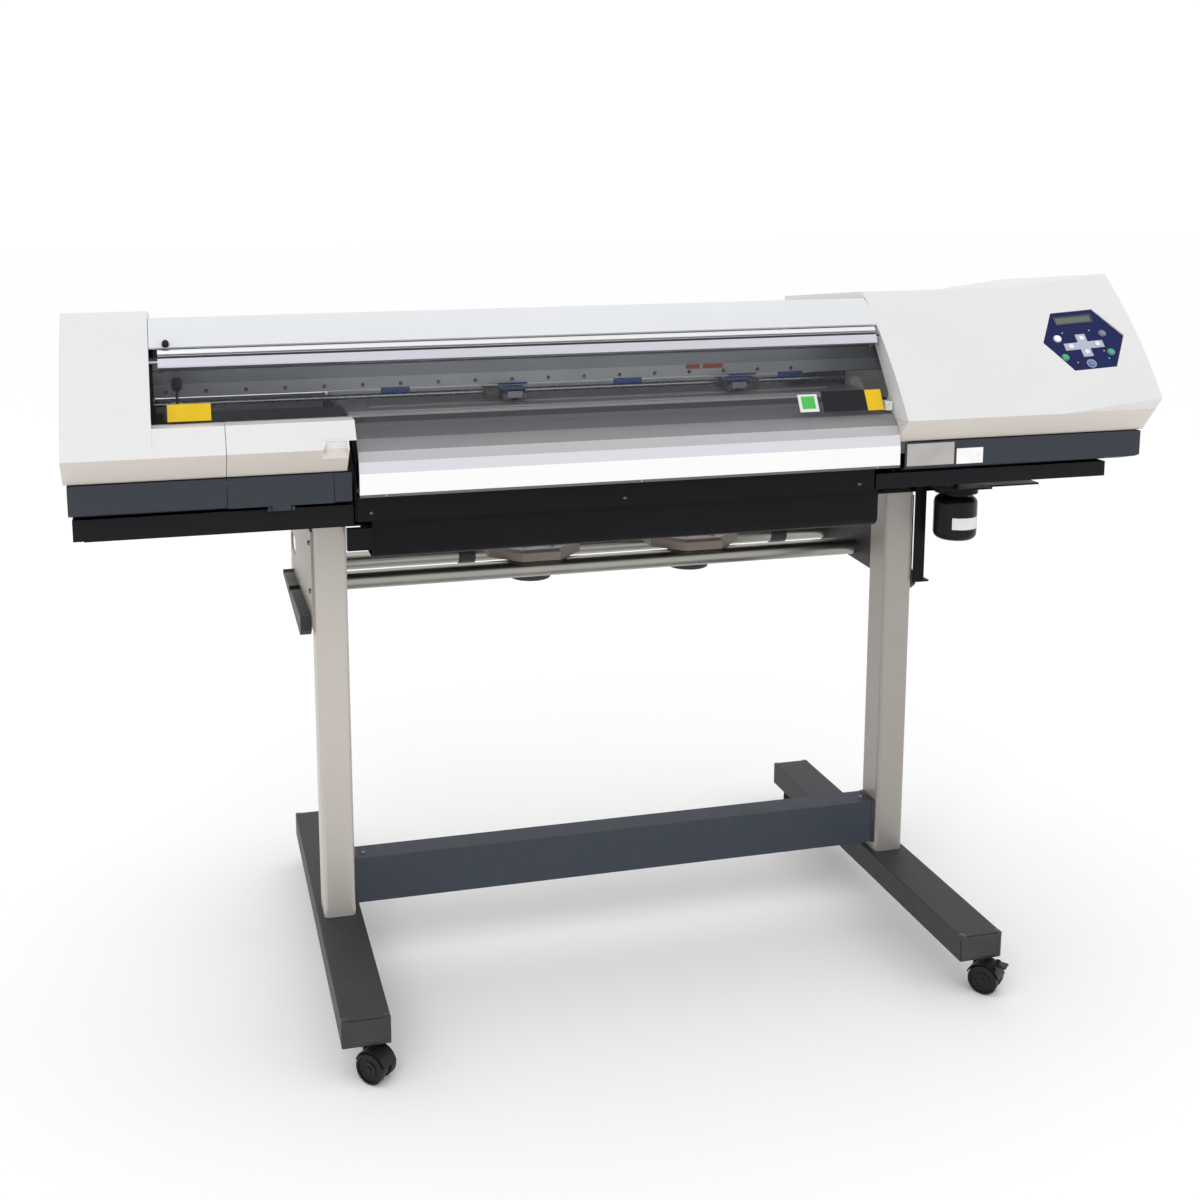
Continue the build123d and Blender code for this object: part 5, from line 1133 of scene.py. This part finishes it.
class CUTTER_OT_stand_fittings(bpy.types.Operator):
    """Model the feet's end caps and the beam's end plates"""

    bl_idname = "cutter.stand_fittings"
    bl_label = "Stand fittings"

    def execute(self, context):
        caps = []
        for node in ("left_foot", "right_foot"):
            low, high = span(node)
            for y, out in ((low.y, -1.0), (high.y, 1.0)):
                near, far = sorted((y, y + out * CAP_SKIN))
                cap = plate((low.x + CAP_MARGIN, near, low.z + CAP_MARGIN),
                            (high.x - CAP_MARGIN, far, high.z - CAP_MARGIN), Y * out, 0.004)
                push(y=-out * 0.0007)
                caps.append(soften(cap, 0.0005))
                near, far = sorted((y - out * TAB_REACH, y + out * 0.0018))
                for x in (low.x + TAB_IN, high.x - TAB_IN):
                    tab = start_block((x - TAB_HALF, near, high.z - TAB_HEIGHT),
                                      (x + TAB_HALF, far, high.z + 0.0005))
                    caps.append(soften(tab, 0.0006))
        settle(gather(caps), "foot_end_caps", "machine",
               moulded("end cap plastic", (0.02, 0.021, 0.023)))
        low, high = span("cross_beam")
        plates = []
        for edge, out in ((low.x, 1.0), (high.x, -1.0)):
            near, far = sorted((edge, edge + out * END_PLATE))
            end = plate((near, low.y - END_PLATE_LIP, low.z - END_PLATE_LIP),
                        (far, high.y + END_PLATE_LIP, high.z + END_PLATE_LIP), -Y, END_PLATE_LIP)
            plates.append(soften(end, 0.0006))
        settle(gather(plates), "beam_end_plates", "machine",
               coated("plate paint", (0.03, 0.032, 0.036)))
        return {"FINISHED"}


# ------------------------------------------------------------------ casters
WHEEL_RADIUS, WHEEL_WIDTH, WHEEL_APART = 0.0229, 0.0128, 0.0128
COLLAR_RADIUS, COLLAR_HEIGHT, COLLAR_DROP = 0.0115, 0.0024, 0.0018
FLAT = 0.9999               # picks a flat cap without the rounded faces round it


class CUTTER_OT_caster_wheels(bpy.types.Operator):
    """Model the twin wheels in place of their plain CAD rollers, and the stems' collars"""

    bl_idname = "cutter.caster_wheels"
    bl_label = "Caster wheels"

    def execute(self, context):
        tread = rubbery("wheel compound", (0.010, 0.010, 0.011), 0.45)
        chrome = drawn_metal("collar chrome", (0.72, 0.72, 0.73), roughness=0.14)
        wheel = self.wheel()
        for caster in CASTERS:
            joint = JOINTS[f"{caster}_roll"]
            centre, axis = Vector(joint["pos_m"]), Vector(joint["axis"])
            places = [turned_to(centre + axis * side * WHEEL_APART, axis * side) for side in (-1.0, 1.0)]
            wheels = settle(copies(wheel, places), f"{caster}_twin_wheels", f"{caster}_wheels",
                            tread)
            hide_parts(f"{caster}_caster_wheels")
            stem = Vector(JOINTS[f"{caster}_swivel"]["pos_m"])
            collar = start_disc(stem - Z * COLLAR_DROP, Z, COLLAR_RADIUS, COLLAR_HEIGHT, sides=32)
            pick_faces(collar, facing(-Z))
            inset(0.003, 0.0003)
            settle(soften(collar, 0.0005), f"{caster}_stem_collar", f"{caster}_caster",
                   chrome)
        discard(wheel)
        return {"FINISHED"}

    def wheel(self):
        """A wheel with a crowned tread, a recessed face, a raised ring and a hub cap."""
        piece = start_disc((0, 0, 0), Z, WHEEL_RADIUS, WHEEL_WIDTH)
        soften(piece, 0.0016, 3)
        pick_faces(piece, facing(Z, FLAT))
        for rim, rise in ((0.0022, -0.0022), (0.0070, 0.0016), (0.0012, -0.0007)):
            inset(rim)
            push(z=rise)
        pick_faces(piece, facing(-Z, FLAT))
        inset(0.004)
        return piece


# ------------------------------------------------------------------ roll gear and bottle
RIB_NEAR, RIB_FAR, RIB_HALF, RIB_RISE = 0.041, 0.071, 0.0012, 0.0022
LABEL_LIFT, LABEL_HEIGHT = 0.0315, 0.020
LABEL_FRONT = Vector((0.05, -1.0))
LABEL_REACH = 0.755         # cosine of half the angle that the label wraps


class CUTTER_OT_roll_gear(bpy.types.Operator):
    """Model the media flanges' ribs and the drain bottle's blank label"""

    bl_idname = "cutter.roll_gear"
    bl_label = "Roll gear and bottle"

    def execute(self, context):
        paint = moulded("rib plastic", (0.25, 0.23, 0.205), roughness=0.4)
        count = sizes().rib_count
        rib = soften(start_block((RIB_NEAR, -RIB_HALF, -0.0004), (RIB_FAR, RIB_HALF, RIB_RISE)), 0.0006)
        for side in ("left", "right"):
            node = f"{side}_media_flange"
            middle = centre_of(node)
            top = Matrix.Translation((middle.x, middle.y, span(node)[1].z))
            places = [top @ Matrix.Rotation(2 * math.pi * (index + 0.5) / count, 4, "Z")
                      for index in range(count)]
            settle(copies(rib, places), f"{side}_flange_ribs", node, paint)
        discard(rib)
        self.bottle()
        return {"FINISHED"}

    def bottle(self):
        low, high = span("drain_bottle")
        middle = centre_of("drain_bottle")
        front = LABEL_FRONT.normalized()
        label = start_disc((middle.x, middle.y, low.z + LABEL_LIFT), Z, (high.x - low.x) / 2 + 0.0004,
                           LABEL_HEIGHT, sides=96)
        pick_faces(label, lambda centre, normal: abs(normal.z) > 0.9
                   or normal.xy.normalized().dot(front) < LABEL_REACH)
        bpy.ops.mesh.delete(type="FACE")
        thicken(label, 0.0002)
        settle(label, "bottle_blank_label", "drain_bottle",
               printed_film("label paper", (0.80, 0.80, 0.79), 0.5))


# ------------------------------------------------------------------ stage
class CUTTER_OT_stage(bpy.types.Operator):
    """Pale floor, soft studio light and the camera"""

    bl_idname = "cutter.stage"
    bl_label = "Stage"

    def execute(self, context):
        put_down()
        bpy.ops.mesh.primitive_plane_add(size=60.0, location=(0, 0, -0.0005))
        floor = context.object
        floor.name = "floor"
        finish = Finish("floor paper", Specular_IOR_Level=0.15)
        cloud = finish.noise(finish.place(), 1.5, 2.0)
        finish.set("Base Color", finish.mix(cloud, (0.965, 0.965, 0.965), (0.985, 0.985, 0.985)))
        finish.set("Roughness", 0.7 + cloud * 0.1)
        floor.data.materials.append(finish.material)
        world = bpy.data.worlds.new("studio")
        context.scene.world = world
        world.use_nodes = True
        world.node_tree.nodes["Background"].inputs[0].default_value = (1.0, 1.0, 1.0, 1.0)
        world.node_tree.nodes["Background"].inputs[1].default_value = 1.02
        self.lamp("key light", (-2.2, -3.4, 3.6), (0.0, 0.0, 0.8), 2.0, 30.0)
        self.lamp("fill light", (3.4, -2.6, 2.2), (0.1, 0.0, 0.8), 2.6, 8.0)
        self.lamp("top light", (0.2, 0.6, 4.2), (0.0, 0.0, 0.8), 3.0, 8.0)
        self.camera(context)
        context.scene.view_settings.view_transform = "Standard"
        return {"FINISHED"}

    def lamp(self, name, place, target, size, power):
        put_down()
        bpy.ops.object.light_add(type="AREA", location=place)
        light = bpy.context.object
        light.name = name
        light.data.size = size
        light.data.energy = power
        light.rotation_euler = (Vector(target) - Vector(place)).to_track_quat("-Z", "Y").to_euler()

    def camera(self, context):
        put_down()
        bpy.ops.object.camera_add()
        eye = context.object
        eye.name = "studio camera"
        yaw, pitch, roll = (math.radians(angle) for angle in (12.9648, 9.0308, -0.5306))
        ahead = Vector((math.sin(yaw) * math.cos(pitch), math.cos(yaw) * math.cos(pitch), -math.sin(pitch)))
        side = Vector((math.cos(yaw), -math.sin(yaw), 0.0))
        up = side.cross(ahead)
        right = side * math.cos(roll) + up * math.sin(roll)
        above = up * math.cos(roll) - side * math.sin(roll)
        place = Matrix((right, above, -ahead)).transposed().to_4x4()
        place.translation = (-0.7004, -2.2589, 1.2723)
        eye.matrix_world = place
        eye.data.sensor_width = 36.0
        eye.data.lens = 43.163
        eye.data.shift_x = 0.0849
        eye.data.shift_y = -0.1526
        eye.data.clip_end = 200.0
        context.scene.camera = eye


# ------------------------------------------------------------------ sidebar
class CUTTER_PT_panel(bpy.types.Panel):
    """Lists the builders of the machine's looks"""

    bl_label = "Print-and-cut machine"
    bl_idname = "CUTTER_PT_panel"
    bl_space_type = "VIEW_3D"
    bl_region_type = "UI"
    bl_category = "Cutter"

    def draw(self, context):
        layout = self.layout
        for builder in BUILDERS:
            layout.operator(builder.bl_idname)
        for group in (context.scene.cutter_colours, context.scene.cutter_sizes):
            box = layout.box()
            for name in group.__annotations__:
                box.prop(group, name)


BUILDERS = (
    CUTTER_OT_finishes,
    CUTTER_OT_screws,
    CUTTER_OT_trims,
    CUTTER_OT_key_panel,
    CUTTER_OT_rail_fittings,
    CUTTER_OT_pinch_fittings,
    CUTTER_OT_window_fittings,
    CUTTER_OT_stand_fittings,
    CUTTER_OT_caster_wheels,
    CUTTER_OT_roll_gear,
    CUTTER_OT_stage,
)
CLASSES = (CutterColours, CutterSizes, *BUILDERS, CUTTER_PT_panel)


def register():
    for item in CLASSES:
        bpy.utils.register_class(item)
    bpy.types.Scene.cutter_colours = PointerProperty(type=CutterColours)
    bpy.types.Scene.cutter_sizes = PointerProperty(type=CutterSizes)


def unregister():
    del bpy.types.Scene.cutter_sizes
    del bpy.types.Scene.cutter_colours
    for item in reversed(CLASSES):
        bpy.utils.unregister_class(item)


def main():
    register()
    bpy.ops.cutter.finishes()
    bpy.ops.cutter.screws()
    bpy.ops.cutter.trims()
    bpy.ops.cutter.key_panel()
    bpy.ops.cutter.rail_fittings()
    bpy.ops.cutter.pinch_fittings()
    bpy.ops.cutter.window_fittings()
    bpy.ops.cutter.stand_fittings()
    bpy.ops.cutter.caster_wheels()
    bpy.ops.cutter.roll_gear()
    bpy.ops.cutter.stage()
    put_down()


if __name__ == "__main__":
    main()
